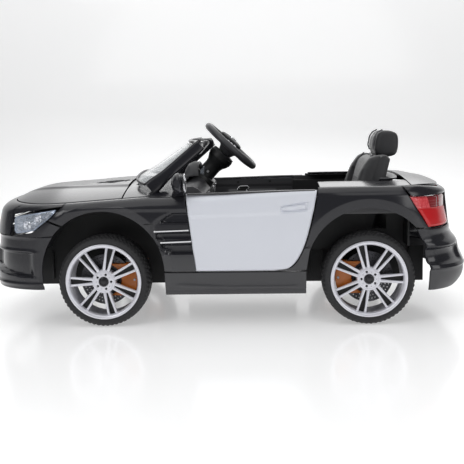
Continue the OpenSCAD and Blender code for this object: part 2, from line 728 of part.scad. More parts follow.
module drive_gearboxes() {
    color(trim_black) both_sides() difference() {
        union() {
            x_rod(160, 206, rear_y, axle_z, 26);
            box([160, rear_y - 60, axle_z - 20], [196, rear_y, axle_z + 26]);
            box([190, rear_y - 56, axle_z - 8], [caliper_in - gap, rear_y - 40, axle_z + 8]);
        }
        x_rod(150, 220, rear_y, axle_z, axle_r + gap);
    }
}

floor_pan();
front_bumper();
nose_panel();
grille();
bonnet();
cowl();
fender_left();
fender_right();
headlight_left();
headlight_right();
sills();
quarter_left();
quarter_right();
rear_deck();
rear_bumper();
tail_panel();
tail_light_left();
tail_light_right();
side_vents();
windscreen_frame();
windscreen();
dashboard();
steering_column();
seat();
mirror_left();
mirror_right();
battery();
front_axle_beam();
rear_axle();
drive_gearboxes();
rear_calipers();
foot_pedal();
door_left();
door_right();
door_trim_left();
door_trim_right();
knuckle_left();
knuckle_right();
front_caliper_left();
front_caliper_right();
tie_rod();
steering_wheel();
steering_shaft();
tyre_front_left();
wheel_front_left();
tyre_front_right();
wheel_front_right();
tyre_rear_left();
wheel_rear_left();
tyre_rear_right();
wheel_rear_right();
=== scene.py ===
"""Builds the looks of a ride-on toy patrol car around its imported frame."""

import math

import bmesh
import bpy
from bpy.props import FloatProperty, FloatVectorProperty, PointerProperty
from mathutils import Matrix, Vector


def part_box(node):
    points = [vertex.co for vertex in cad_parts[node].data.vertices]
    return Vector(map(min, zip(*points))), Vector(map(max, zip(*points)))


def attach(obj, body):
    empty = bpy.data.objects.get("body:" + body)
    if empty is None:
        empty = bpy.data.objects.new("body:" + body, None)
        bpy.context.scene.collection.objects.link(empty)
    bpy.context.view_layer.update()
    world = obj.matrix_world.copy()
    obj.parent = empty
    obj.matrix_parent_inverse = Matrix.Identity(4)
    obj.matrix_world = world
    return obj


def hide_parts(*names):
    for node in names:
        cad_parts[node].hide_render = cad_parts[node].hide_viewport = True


bl_info = {
    "name": "Ride-on Patrol Car",
    "version": (1, 0, 0),
    "blender": (4, 5, 0),
    "location": "View3D > Sidebar > Patrol Car",
    "description": "Body, cabin, wheels and finishes of a ride-on toy patrol car",
    "category": "Object",
}

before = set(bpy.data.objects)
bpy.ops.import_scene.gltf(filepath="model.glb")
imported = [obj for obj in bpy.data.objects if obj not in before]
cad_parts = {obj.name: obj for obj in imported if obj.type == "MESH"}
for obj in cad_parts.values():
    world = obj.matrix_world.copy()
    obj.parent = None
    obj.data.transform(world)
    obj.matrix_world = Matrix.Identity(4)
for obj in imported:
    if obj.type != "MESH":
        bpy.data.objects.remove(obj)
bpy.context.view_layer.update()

MM = 0.001  # the shapes below are worked out in millimetres


def middle(node):
    low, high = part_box(node)
    return (low + high) / 2 / MM


def extent(node):
    low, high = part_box(node)
    return low / MM, high / MM


FRONT = middle("tyre_front_left")
REAR = middle("tyre_rear_left")
AXLE_Z = FRONT.z
TYRE_R = AXLE_Z
WHEEL_X = FRONT.x
NOSE_Y = extent("front_bumper")[0].y - 2
TAIL_Y = extent("rear_bumper")[1].y + 2
HALF_WIDTH = extent("sills")[1].x + 2
SIDES = (("left", 1), ("right", -1))


# ---------------------------------------------------------------- numbers


def mix(a, b, t):
    return a + (b - a) * t


def clamp(t, low=0.0, high=1.0):
    return max(low, min(high, t))


def ease(t):
    t = clamp(t)
    return t * t * (3 - 2 * t)


def bump(t):
    """1 in the middle of a span, falling smoothly to 0 at -1 and 1."""
    return (1 - t * t) ** 2 if abs(t) < 1 else 0.0


def along(points, t):
    """Point part of the way along a list of points."""
    s = clamp(t) * (len(points) - 1)
    i = min(int(s), len(points) - 2)
    return [mix(a, b, s - i) for a, b in zip(points[i], points[i + 1])]


def spread(n, low=0.0, high=1.0):
    return [mix(low, high, i / n) for i in range(n + 1)]


# ---------------------------------------------------------------- body surface

FRONT_CAP = -300
REAR_CAP = 300
CAP_N = 3.35
CAP_E = 2 / CAP_N
SHOULDER_H = 20
ARCH_R = 130
ARCH_Z = 116
SEAM = 3
SHELL = 3.6


def side_x(z):
    return HALF_WIDTH - 13 * (max(0, z - 200) / 100) ** 2.2 - 18 * (max(0, 140 - z) / 72) ** 2


def nose_end(z):
    return NOSE_Y + 2 + 16 * (abs(z - 118) / 120) ** 2


def tail_end(z):
    return TAIL_Y - 2 - 46 * ease((z - 110) / 130) - 16 * (max(0, 101 - z) / 32) ** 2


def cap(t):
    return 1.0 if t <= 0 else 0.0 if t >= 1 else (1 - t**CAP_N) ** (1 / CAP_N)


def bonnet_mid(t):
    return 303 - 22 * t - 28 * t**14


def bonnet_z(x, y):
    return bonnet_mid(clamp((-160 - y) / 335)) - 28 * (abs(x) / 255) ** 2.2


def bonnet_half(y, inset=0):
    reach = FRONT_CAP - nose_end(262) - 24 - inset
    return (side_x(262) - 24 - inset) * cap((FRONT_CAP - y) / reach)


def rim_z(y):
    """Height at which the side of the body ends, at a station."""
    if y < -100:
        return bonnet_z(bonnet_half(y), y)
    start = bonnet_z(bonnet_half(-100), -100)
    return mix(start, 289, ease((y + 100) / 340)) - 22 * (max(0, y - 400) / 80) ** 2


def deck_z(x, y):
    """Height of the rear deck and of the shelves beside the seat."""
    return rim_z(y) + 16 * (1 - min(1, abs(x) / 262) ** 2)


def drop(z, rim, width):
    t = clamp((z - rim + SHOULDER_H) / SHOULDER_H)
    return width * (1 - math.sqrt(1 - t * t))


def skin_x(y, z, depth=0.0):
    d = drop(z, rim_z(y), mix(24, 12, ease((y + 140) / 80))) + depth
    w = side_x(z) - d
    if y < FRONT_CAP:
        return w * cap((FRONT_CAP - y) / (FRONT_CAP - nose_end(z) - d))
    if y > REAR_CAP:
        return w * cap((y - REAR_CAP) / (tail_end(z) - REAR_CAP - d))
    return w


def end_pt(way, a, z, rim, depth=0.0):
    """Point of the nose (-1) or the tail (1) at an angle from straight ahead of it; a > 0 is the left side."""
    wide, start, end = (24, FRONT_CAP, nose_end) if way < 0 else (12, REAR_CAP, tail_end)
    d = drop(z, rim, wide) + depth
    turn = math.radians(a)
    x = math.copysign((side_x(z) - d) * abs(math.sin(turn)) ** CAP_E, a)
    return x, start + way * (abs(end(z) - start) - d) * max(0.0, math.cos(turn)) ** CAP_E, z


def end_angle(way, y, z, d=0):
    start, end = (FRONT_CAP, nose_end) if way < 0 else (REAR_CAP, tail_end)
    share = clamp(abs(y - start) / (abs(end(z) - start) - d))
    return math.degrees(math.acos(clamp(share ** (1 / CAP_E))))


def end_rim(way, a):
    if way < 0:
        turn = math.radians(a)
        x = (side_x(262) - 24) * abs(math.sin(turn)) ** CAP_E
        y = FRONT_CAP - (FRONT_CAP - nose_end(262) - 24) * max(0, math.cos(turn)) ** CAP_E
        return bonnet_z(x, y)
    return deck_z(*end_pt(1, a, 262, 300)[:2])


def arch_y(axle, z, way, r=ARCH_R):
    return axle + way * math.sqrt(max(0, r * r - max(0, z - ARCH_Z) ** 2))


def arch_edge(axle, a):
    return [axle + ARCH_R * math.cos(math.radians(a)), ARCH_Z + ARCH_R * math.sin(math.radians(a))]


def arch_lip(axle, y, z, wide=17, deep=7):
    """Chamfer that turns the skin inwards around a wheel arch."""
    r = math.hypot(y - axle, z - ARCH_Z)
    return deep * clamp(1 - (r - ARCH_R) / wide)


# ---------------------------------------------------------------- meshes


def add_object(name, mesh):
    o = bpy.data.objects.new(name, mesh)
    bpy.context.scene.collection.objects.link(o)
    return o


def settle(o, angle=35):
    """Applies the modifiers and shades the mesh smooth up to an angle."""
    graph = bpy.context.evaluated_depsgraph_get()
    mesh = bpy.data.meshes.new_from_object(o.evaluated_get(graph))
    o.modifiers.clear()
    o.data = mesh
    for p in mesh.polygons:
        p.use_smooth = True
    mesh.set_sharp_from_angle(angle=math.radians(angle))
    return o


def bevelled(o, width=0.8, segments=2, angle=40):
    m = o.modifiers.new("edges", "BEVEL")
    m.width = width * MM
    m.segments = segments
    m.limit_method = "ANGLE"
    m.angle_limit = math.radians(angle)
    return settle(o)


def from_points(name, points, faces):
    mesh = bpy.data.meshes.new(name)
    mesh.from_pydata([Vector(p) * MM for p in points], [], faces)
    tidy = bmesh.new()
    tidy.from_mesh(mesh)
    bmesh.ops.recalc_face_normals(tidy, faces=tidy.faces)
    tidy.to_mesh(mesh)
    tidy.free()
    return add_object(name, mesh)


def sheet(name, outer, inner, holes=None, flip=False, bevel=0.8):
    """Closed sheet between two grids of points. holes(i, j) is true for cells that are left open."""
    nu, nv = len(outer), len(outer[0])
    size = nu * nv
    points = [(-p[0], p[1], p[2]) if flip else p for grid in (outer, inner) for row in grid for p in row]
    solid = [[not (holes and holes(i, j)) for j in range(nv - 1)] for i in range(nu - 1)]

    def is_solid(i, j):
        return 0 <= i < nu - 1 and 0 <= j < nv - 1 and solid[i][j]

    faces = []
    for i in range(nu - 1):
        for j in range(nv - 1):
            if not solid[i][j]:
                continue
            a, b, c, d = i * nv + j, (i + 1) * nv + j, (i + 1) * nv + j + 1, i * nv + j + 1
            faces.append((a, b, c, d))
            faces.append((a + size, d + size, c + size, b + size))
            for near, p, q in (
                ((i, j - 1), a, b), ((i + 1, j), b, c), ((i, j + 1), c, d), ((i - 1, j), d, a)
            ):
                if not is_solid(*near):
                    faces.append((p, p + size, q + size, q))
    o = from_points(name, points, faces)
    loose = bmesh.new()
    loose.from_mesh(o.data)
    bmesh.ops.delete(loose, geom=[v for v in loose.verts if not v.link_faces], context="VERTS")
    loose.to_mesh(o.data)
    loose.free()
    return bevelled(o, bevel) if bevel else settle(o)


def grid(us, vs, point):
    return [[point(u, v) for v in vs] for u in us]


def side_panel(name, low, high, columns, rows, relief=None, thick=SHELL, flip=False, bevel=0.8, lift=0.0):
    """Panel of the body's side between a lower and an upper line of [station, height] points."""
    bottom = [along(low, t) for t in spread(columns)]
    top = [along(high, t) for t in spread(columns)]

    def make(depth):
        cells = []
        for p, q in zip(bottom, top):
            line = []
            for t in spread(rows):
                s = t * (1.6 - 0.6 * t)
                y, z = mix(p[0], q[0], s), mix(p[1], q[1], s)
                line.append((skin_x(y, z, depth + (relief(y, z) if relief else 0)), y, z))
            cells.append(line)
        return cells

    return sheet(name, make(-lift), make(thick - lift), flip=flip, bevel=bevel)


def lathe(name, profile, axis="X", at=(0, 0, 0), turns=96, mirror=False, bevel=0.0, wave=None):
    """Turns a closed [radius, distance] outline about an axis through a point."""
    points, faces = [], []
    n = len(profile)
    for k in range(turns):
        a = 2 * math.pi * k / turns
        for m, (r, d) in enumerate(profile):
            r = r - (wave(k, m, r, d) if wave else 0)
            d = -d if mirror else d
            u, v = r * math.cos(a), r * math.sin(a)
            p = {"X": (d, u, v), "Y": (u, d, v), "Z": (u, v, d)}[axis]
            points.append(tuple(p[i] + at[i] for i in range(3)))
    for k in range(turns):
        for m in range(n):
            a, b = k * n + m, k * n + (m + 1) % n
            c, d = ((k + 1) % turns) * n + (m + 1) % n, ((k + 1) % turns) * n + m
            faces.append((a, b, c, d))
    o = from_points(name, points, faces)
    return bevelled(o, bevel) if bevel else settle(o)


def loft(name, rings, bevel=0.0, angle=35):
    """Closed form through rings of points, capped at both ends."""
    n = len(rings[0])
    points = [p for ring in rings for p in ring]
    faces = [tuple(range(n)), tuple((len(rings) - 1) * n + k for k in range(n))]
    for i in range(len(rings) - 1):
        for k in range(n):
            a, b = i * n + k, i * n + (k + 1) % n
            faces.append((a, b, b + n, a + n))
    o = from_points(name, points, faces)
    return bevelled(o, bevel) if bevel else settle(o, angle)


def tube(name, path, radius, sides=16):
    """Round tube along a path; radius is a number or one for each point."""
    path = [Vector(p) for p in path]
    radii = radius if isinstance(radius, (list, tuple)) else [radius] * len(path)
    rings = []
    up = Vector((0.02, 0.01, 1))
    for i, p in enumerate(path):
        d = (path[min(i + 1, len(path) - 1)] - path[max(i - 1, 0)]).normalized()
        u = d.cross(up).normalized()
        v = d.cross(u)
        rings.append([
            p + radii[i] * (u * math.cos(2 * math.pi * k / sides) + v * math.sin(2 * math.pi * k / sides))
            for k in range(sides)
        ])
    return loft(name, rings)


def slab(name, outline, axis, low, high, bevel=1.0, segments=3):
    """Flat outline of [a, b] points pushed along an axis; the points lie on the other two axes in order."""
    rings = []
    for d in (low, high):
        rings.append([{"X": (d, a, b), "Y": (a, d, b), "Z": (a, b, d)}[axis] for a, b in outline])
    n = len(outline)
    points = rings[0] + rings[1]
    faces = [tuple(range(n)), tuple(range(n, 2 * n))]
    faces += [(k, (k + 1) % n, n + (k + 1) % n, n + k) for k in range(n)]
    o = from_points(name, points, faces)
    return bevelled(o, bevel, segments) if bevel else settle(o)


def rounded(a0, b0, a1, b1, r, steps=5):
    """Rectangle with round corners as a list of points."""
    out = []
    for ca, cb, start in (
        (a1 - r, b0 + r, -90), (a1 - r, b1 - r, 0), (a0 + r, b1 - r, 90), (a0 + r, b0 + r, 180)
    ):
        for s in spread(steps, start, start + 90):
            out.append((ca + r * math.cos(math.radians(s)), cb + r * math.sin(math.radians(s))))
    return out


def joined(name, parts):
    """One mesh made of several."""
    mesh = bpy.data.meshes.new(name)
    whole = bmesh.new()
    for part in parts:
        whole.from_mesh(part.data)
    whole.to_mesh(mesh)
    whole.free()
    for part in parts:
        bpy.data.objects.remove(part)
    for p in mesh.polygons:
        p.use_smooth = True
    o = add_object(name, mesh)
    mesh.set_sharp_from_angle(angle=math.radians(35))
    return o


def moved(o, matrix):
    o.data.transform(matrix)
    if matrix.determinant() < 0:
        o.data.flip_normals()
    return o


def place(o, material, body, slot, *nodes):
    """Gives a piece its material, its body and the CAD nodes it stands for; the record slot is not used."""
    o.data.materials.clear()
    o.data.materials.append(bpy.data.materials[material])
    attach(o, body)
    if nodes:
        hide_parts(*nodes)
    return o


def cut(o, *tools):
    """Takes closed meshes away from a piece."""
    for tool in tools:
        m = o.modifiers.new("cut", "BOOLEAN")
        m.object = tool
        m.operation = "DIFFERENCE"
        m.solver = "EXACT"
    settle(o)
    for tool in tools:
        bpy.data.objects.remove(tool)
    return o


def softened(name, node, width=0.8, segments=2):
    """Copy of a CAD node with its flat faces joined up and its edges rounded."""
    o = add_object(name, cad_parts[node].data.copy())
    whole = bmesh.new()
    whole.from_mesh(o.data)
    bmesh.ops.remove_doubles(whole, verts=whole.verts, dist=0.00002)
    bmesh.ops.dissolve_limit(whole, angle_limit=0.02, verts=whole.verts, edges=whole.edges)
    whole.to_mesh(o.data)
    whole.free()
    return bevelled(o, width, segments, 35)


def second_material(o, name, test):
    """Gives the faces whose middle passes a test, in millimetres, another material."""
    o.data.materials.append(bpy.data.materials[name])
    for p in o.data.polygons:
        if test(*(p.center / MM)):
            p.material_index = len(o.data.materials) - 1


def turned(axis, degrees, at=(0, 0, 0)):
    """Rotation about an axis through a point given in millimetres."""
    p = Vector(at) * MM
    return Matrix.Translation(p) @ Matrix.Rotation(math.radians(degrees), 4, axis) @ Matrix.Translation(-p)


def mirrored():
    return Matrix.Scale(-1, 4, (1, 0, 0))


def copied(o, name, matrix):
    c = add_object(name, o.data.copy())
    return moved(c, matrix)


def shift(x, y, z):
    return Matrix.Translation(Vector((x, y, z)) * MM)


# ---------------------------------------------------------------- materials


def feed(tree, socket, value):
    if isinstance(value, Term):
        tree.links.new(value.socket, socket)
    else:
        socket.default_value = value


class Term:
    """Socket of a node tree; arithmetic on it adds Math nodes."""

    def __init__(self, tree, socket):
        self.tree = tree
        self.socket = socket

    def maths(self, operation, *values):
        node = self.tree.nodes.new("ShaderNodeMath")
        node.operation = operation
        for socket, value in zip(node.inputs, values):
            feed(self.tree, socket, value)
        return Term(self.tree, node.outputs[0])

    def __add__(self, other):
        return self.maths("ADD", self, other)

    def __sub__(self, other):
        return self.maths("SUBTRACT", self, other)

    def __rsub__(self, other):
        return self.maths("SUBTRACT", other, self)

    def __mul__(self, other):
        return self.maths("MULTIPLY", self, other)

    def __pow__(self, other):
        return self.maths("POWER", self, other)

    def __gt__(self, other):
        return self.maths("GREATER_THAN", self, other)

    def sin(self):
        return self.maths("SINE", self)

    __radd__ = __add__
    __rmul__ = __mul__


class Finish:
    """Procedural material around one Principled shader."""

    def __init__(self, name, color, roughness, **constants):
        self.material = bpy.data.materials.new(name)
        self.material.use_nodes = True
        self.tree = self.material.node_tree
        self.shader = self.tree.nodes["Principled BSDF"]
        self.color = tuple(color)
        self.roughness = roughness
        self.shader.inputs["Base Color"].default_value = (*self.color, 1)
        self.shader.inputs["Roughness"].default_value = roughness
        for key, value in constants.items():
            self.shader.inputs[key.replace("_", " ").title()].default_value = value
        self.height = None
        self.material.diffuse_color = (*self.color, 1)

    def node(self, kind, inputs, settings=None, output=0):
        node = self.tree.nodes.new("ShaderNode" + kind)
        for key, value in (settings or {}).items():
            setattr(node, key, value)
        for key, value in inputs.items():
            feed(self.tree, node.inputs[key], value)
        return Term(self.tree, node.outputs[output])

    def place(self):
        return self.node("TexCoord", {}, output="Object")

    def noise(self, scale, detail=3.0, stretch=(1, 1, 1)):
        at = self.node("Mapping", {"Vector": self.place(), "Scale": stretch})
        return self.node("TexNoise", {"Vector": at, "Scale": scale, "Detail": detail})

    def cells(self, scale, feature="F1"):
        return self.node("TexVoronoi", {"Vector": self.place(), "Scale": scale}, {"feature": feature})

    def axis(self, name):
        return self.node("SeparateXYZ", {"Vector": self.place()}, output=name)

    def blend(self, share, other):
        """Base colour goes from the first colour to another with a share from 0 to 1."""
        node = self.tree.nodes.new("ShaderNodeMix")
        node.data_type = "RGBA"
        feed(self.tree, node.inputs["Factor"], share)
        node.inputs["A"].default_value = (*self.color, 1)
        node.inputs["B"].default_value = (*other, 1)
        feed(self.tree, self.shader.inputs["Base Color"], Term(self.tree, node.outputs["Result"]))
        return self

    def wear(self, share, amount):
        feed(self.tree, self.shader.inputs["Roughness"], share * amount + (self.roughness - amount / 2))
        return self

    def bump(self, height, strength, distance):
        inputs = {"Height": height, "Strength": strength, "Distance": distance}
        if self.height is not None:
            inputs["Normal"] = self.height
        self.height = self.node("Bump", inputs)
        feed(self.tree, self.shader.inputs["Normal"], self.height)
        return self

    def opacity(self, low, high):
        # Alpha rises from low facing the camera to high at glancing views, so the pale base colour shows most towards
        # the edges of the glass: a painted reflection.
        rim = self.node("LayerWeight", {"Blend": 0.35}, output="Facing")
        feed(self.tree, self.shader.inputs["Alpha"], rim * (high - low) + low)
        return self


def lighter(color, factor):
    return tuple(min(1.0, c * factor) for c in color)


def plastic(name, color, roughness, grain=1400, grain_depth=0.03, wave=0.0, spread_by=1.35, **constants):
    """Moulded plastic: a faint mottle, uneven gloss, fine grain and slight waviness."""
    f = Finish(name, color, roughness, **constants)
    f.blend(f.noise(14), lighter(color, spread_by))
    f.wear(f.noise(35, 5), roughness * 0.35)
    f.bump(f.noise(grain, 2), grain_depth, 0.0004)
    if wave:
        f.bump(f.noise(7, 1), wave, 0.004)
    return f


def metal(name, color, roughness, stretch=(1, 1, 1), depth=0.05, **constants):
    f = Finish(name, color, roughness, metallic=1.0, **constants)
    f.blend(f.noise(60, 4, stretch), lighter(color, 0.72))
    f.wear(f.noise(260, 4, stretch), roughness * 0.5)
    return f.bump(f.noise(900, 2, stretch), depth, 0.0003)


def make_finishes(look):
    gloss = plastic("gloss_black", look.body, look.gloss, wave=0.1, coat_weight=0.1, coat_roughness=0.05)
    satin = plastic("satin_black", look.trim, 0.42, grain=2200, grain_depth=0.1, wave=0.05)
    for f in (gloss, satin):
        f.shader.inputs["Specular IOR Level"].default_value = 0.06
    plastic("chassis_black", lighter(look.trim, 0.6), 0.55, grain=900, grain_depth=0.15)
    plastic("column_black", lighter(look.trim, 0.45), 0.5, grain=1800, grain_depth=0.15)
    plastic("recess_black", (0.004, 0.004, 0.004), 0.6, grain=700, grain_depth=0.2)
    plastic("door_white", look.door, 0.3, wave=0.06, spread_by=1.03, coat_weight=0.3, coat_roughness=0.12)
    plastic("buckle_red", (0.72, 0.01, 0.015), 0.32, spread_by=1.2)
    plastic("caliper_orange", look.caliper, 0.34, grain=800, grain_depth=0.1, coat_weight=0.3)
    plastic("gauge_white", (0.75, 0.76, 0.78), 0.4, spread_by=1.05)
    rim = Finish("rim_silver", look.rim, 0.3, metallic=0.35, coat_weight=0.4, coat_roughness=0.15)
    rim.blend(rim.cells(2600), lighter(look.rim, 1.18)).wear(rim.noise(40, 4), 0.12)
    rim.bump(rim.noise(1600, 2), 0.04, 0.0003)
    metal("chrome", (0.86, 0.87, 0.89), 0.1, depth=0.02)
    metal("steel", (0.42, 0.42, 0.44), 0.36, (1, 8, 8))
    metal("dark_steel", (0.09, 0.09, 0.1), 0.38, (8, 1, 1))
    disc = Finish("disc_steel", (0.13, 0.13, 0.14), 0.32, metallic=0.9)
    disc.blend(disc.noise(90, 4), (0.06, 0.06, 0.065)).wear(disc.noise(300, 3), 0.2)
    disc.bump(
        disc.node("TexWave", {"Scale": 160, "Distortion": 0}, {"wave_type": "RINGS", "rings_direction": "X"}),
        0.25, 0.0006
    )
    tyre = Finish("tyre_rubber", (0.012, 0.012, 0.013), 0.62)
    tyre.blend(tyre.noise(24, 4), (0.024, 0.024, 0.026)).wear(tyre.noise(60, 5), 0.2)
    tyre.bump(tyre.noise(1100, 3), 0.25, 0.0006)
    for name, color, rough in (
        ("leather", look.leather, 0.44), ("leather_side", lighter(look.leather, 1.9), 0.5)
    ):
        hide = Finish(name, color, rough, sheen_weight=0.15, sheen_roughness=0.4)
        hide.blend(hide.noise(18, 4), lighter(color, 1.6)).wear(hide.cells(420), 0.2)
        hide.bump(hide.cells(620, "DISTANCE_TO_EDGE"), 0.35, 0.0006).bump(hide.noise(45, 3), 0.2, 0.0015)
    stitch = Finish("thread", (0.08, 0.08, 0.085), 0.7)
    stitch.blend(stitch.noise(600), (0.16, 0.16, 0.17)).bump(stitch.noise(2400), 0.4, 0.0003)
    red = Finish("lamp_red", look.lamp, 0.14, coat_weight=0.8, coat_roughness=0.04, emission_strength=0.12)
    red.shader.inputs["Emission Color"].default_value = (0.6, 0.0, 0.01, 1)
    # Stripes along the lens prisms set the bumps and, mixed with a random mottle, darken the red in bands: partly
    # random tone, partly painted shade of the prisms.
    prisms_and_shade = (red.axis("Z") * 1500).sin() * 0.5 + 0.5
    red.blend(prisms_and_shade * 0.45 + red.noise(30) * 0.3, (0.16, 0.0, 0.004)).bump(prisms_and_shade, 0.3, 0.0008)
    pale = Finish("lamp_pale", (0.78, 0.12, 0.13), 0.16, coat_weight=0.8, coat_roughness=0.05)
    facets_and_shade = pale.cells(210)
    # The facet cells set the bumps and also darken the red towards each facet's edges: painted shade on the facets.
    pale.blend(facets_and_shade, (0.55, 0.02, 0.03)).bump(facets_and_shade, 0.5, 0.001)
    deep = Finish("lamp_deep", (0.13, 0.0, 0.004), 0.16, coat_weight=0.8, coat_roughness=0.05)
    deep.blend(deep.noise(50), (0.3, 0.005, 0.01)).bump((deep.axis("Z") * 1100).sin(), 0.2, 0.0006)
    reflector = Finish("reflector", (0.8, 0.82, 0.86), 0.16, metallic=0.9)
    crumple_and_reflection = reflector.cells(75)
    # The crumple cells set the facets' bumps and also turn each facet darker and bluer towards its edges: a painted
    # reflection.
    reflector.blend(crumple_and_reflection, (0.35, 0.38, 0.44)).bump(crumple_and_reflection, 1.0, 0.006).bump(
        reflector.noise(90, 3), 0.6, 0.004
    )
    bezel = Finish("lamp_bezel", (0.16, 0.2, 0.28), 0.25, metallic=0.5, coat_weight=0.5)
    bezel.blend(bezel.noise(22), (0.3, 0.36, 0.47)).bump(bezel.noise(500), 0.05, 0.0005)
    for name, color, low, high in (
        ("lens_clear", (0.75, 0.82, 0.92), 0.1, 0.55), ("screen_clear", (0.8, 0.84, 0.86), 0.1, 0.6)
    ):
        # Pale glass that grows more opaque at glancing views: a painted reflection.
        glass = Finish(name, color, 0.05, coat_weight=0.5)
        glass.wear(glass.noise(20, 4), 0.04).opacity(low, high).bump(glass.noise(12, 2), 0.08, 0.002)
    metal("mirror_glass", (0.75, 0.78, 0.82), 0.05, depth=0.005)
    floor = Finish("studio_floor", look.floor, 0.16, emission_strength=0.36)
    floor.shader.inputs["Emission Color"].default_value = (1, 1, 1, 1)
    floor.blend(floor.noise(1.6), lighter(look.floor, 0.985)).wear(floor.noise(5, 3), 0.05)


KEPT = {
    "battery": "chassis_black",
    "rear_axle": "steel",
    "steering_shaft": "steel",
    "tie_rod": "steel",
    "floor_pan": "chassis_black",
}


class PATROL_PG_look(bpy.types.PropertyGroup):
    """Colours and gloss of the car."""

    body: FloatVectorProperty(
        name="Body", description="Colour of the gloss panels", subtype="COLOR", default=(0.003, 0.003, 0.0034)
    )
    trim: FloatVectorProperty(
        name="Trim", description="Colour of the satin trim", subtype="COLOR", default=(0.009, 0.0095, 0.011)
    )
    door: FloatVectorProperty(
        name="Door", description="Colour of the doors", subtype="COLOR", default=(0.72, 0.74, 0.8)
    )
    rim: FloatVectorProperty(
        name="Rim", description="Colour of the wheels", subtype="COLOR", default=(0.7, 0.7, 0.75)
    )
    caliper: FloatVectorProperty(
        name="Caliper", description="Colour of the brake calipers", subtype="COLOR",
        default=(0.5, 0.14, 0.015)
    )
    leather: FloatVectorProperty(
        name="Seat", description="Colour of the seat cover", subtype="COLOR", default=(0.009, 0.009, 0.01)
    )
    lamp: FloatVectorProperty(
        name="Tail light", description="Colour of the tail lights", subtype="COLOR",
        default=(0.62, 0.004, 0.014)
    )
    floor: FloatVectorProperty(
        name="Floor", description="Colour of the studio floor", subtype="COLOR", default=(0.9, 0.9, 0.9)
    )
    gloss: FloatProperty(
        name="Gloss", description="Roughness of the gloss panels", default=0.14, min=0.02, max=1.0
    )


class PATROL_OT_finishes(bpy.types.Operator):
    """Make the materials and give them to the pieces kept from the frame"""

    bl_idname = "patrol.finishes"
    bl_label = "Finishes"

    def execute(self, context):
        make_finishes(context.scene.patrol_look)
        for node, name in KEPT.items():
            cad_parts[node].material_slots[0].material = bpy.data.materials[name]
        return {"FINISHED"}


# ---------------------------------------------------------------- body panels

LAMP_FRONT = -452
LAMP_TIP = -338
BUMPER_TOP = 200
LAMP_IN = 26
DOOR_Z = 119


def soft_box(a, b, a0, a1, b0, b1, edge):
    """1 inside a rectangle, falling to 0 over a distance outside it."""
    return ease(
        1 + (a - a0) / edge
    ) * ease(1 + (a1 - a) / edge) * ease(1 + (b - b0) / edge) * ease(1 + (b1 - b) / edge)


def bumper_relief(way, a, z):
    """Depth of the sculpting of a bumper at an angle from straight ahead of it."""
    side = abs(a)
    if way < 0:
        mouth = soft_box(side, z, 40, 66, 112 + (66 - side) * 0.5, 158, 5)
        blade = bump((z - 92 - max(0, 40 - side) * 0.1) / 6)
        shelf = ease((z - 160) / 6) * ease((198 - z) / 10) * ease((74 - side) / 10)
        return 11 * mouth - 3 * blade + 5 * shelf
    step = ease((side - 20) / 20)
    shelf = 4 * ease((z - 166) / 10) * ease((200 - z) / 16)
    waist = 4.5 * bump((z - 141) / 22)
    blade = -2.5 * bump((z - 116) / 6)
    vent = soft_box(side, z, 46, 68, 128, 156, 4)
    return (shelf + waist + blade) * step + 7 * vent


def bumper(name, way):
    axle = FRONT.y if way < 0 else REAR.y
    low, high = (80, 194) if way < 0 else (68, BUMPER_TOP)

    def make(depth):
        cells = []
        for u in spread(96, -1, 1):
            line = []
            for z in spread(38, low, high):
                y = arch_y(axle, z, way)
                p = end_pt(way, end_angle(way, y, z) * u, z, 300, 0)
                a = math.degrees(math.atan2(abs(p[0]), way * (p[1] - (FRONT_CAP if way < 0 else REAR_CAP))))
                relief = bumper_relief(way, a, z) + arch_lip(axle, p[1], z, 18, 4)
                line.append(end_pt(way, end_angle(way, y, z) * u, z, 300, depth + relief))
            cells.append(line)
        return cells

    return sheet(name, make(0), make(SHELL))


def slot_cutter(half, high, z, y, deep=90):
    r = high / 2 - 0.1
    return slab(
        "cutter", rounded(-half, z - high / 2, half, z + high / 2, r, 8), "Y", y - deep / 2, y + deep / 2, 0
    )


def nose_bar(name, z, half, back, high=2.6, thick=3.4):
    """Bar of the grille that follows the nose behind its opening."""
    a = math.degrees(math.asin((half / (side_x(z) - back)) ** (1 / CAP_E)))

    def make(depth, grow):
        return [
            [end_pt(-1, a * u + 0.001, z + s * high * grow, 400, depth) for s in (-0.5, -0.2, 0.2, 0.5)]
            for u in spread(28, -1, 1)
        ]

    return sheet(name, make(SHELL + 2, 0.6), make(SHELL + 2 + thick, 1.6), bevel=0.4)


def nose_panel():
    lamp_a, tip_a = end_angle(-1, LAMP_FRONT, 220), end_angle(-1, LAMP_TIP - 4, 240)
    angles = sorted(
        [
            s * a for s in (-1, 1) for a in spread(12, lamp_a + 0.5, tip_a)
        ] + [(lamp_a - 1.5) * u for u in spread(64, -1, 1)]
    )

    def make(depth):
        cells = []
        for a in angles:
            low = 197 if abs(a) < lamp_a - 1 else mix(240, 257, (abs(a) - lamp_a) / (tip_a - lamp_a))
            rim = end_rim(-1, a)
            cells.append(
                [end_pt(-1, a, mix(low, rim - 0.2, t * (1.7 - 0.7 * t)), rim, depth) for t in spread(20)]
            )
        return cells

    return cut(sheet("nose_shell", make(0), make(SHELL), bevel=0), slot_cutter(118, 30, 219, NOSE_Y + 30))


def bonnet_relief(x, y):
    side = abs(x)
    share = (y + 477) / 259
    crease_x = mix(78, 150, share)
    dome = 2.4 * ease((crease_x + 14 - side) / 26) * ease(share * 4)
    ridge = 1.5 * bump((side - crease_x) / 16) * ease(share * 5)
    middle_line = 1.5 * bump(side / 26) * ease(share * 3)
    oval = ((side - 92) / 15) ** 2 + ((y + 262) / 40) ** 2
    pit = 5 * ease((1.15 - oval) / 0.5)
    lip = 0.9 * bump((oval - 1.3) / 0.8)
    edge = ease((bonnet_half(y, SEAM) - side) / 30)
    return (dome + ridge + middle_line) * edge + lip - pit


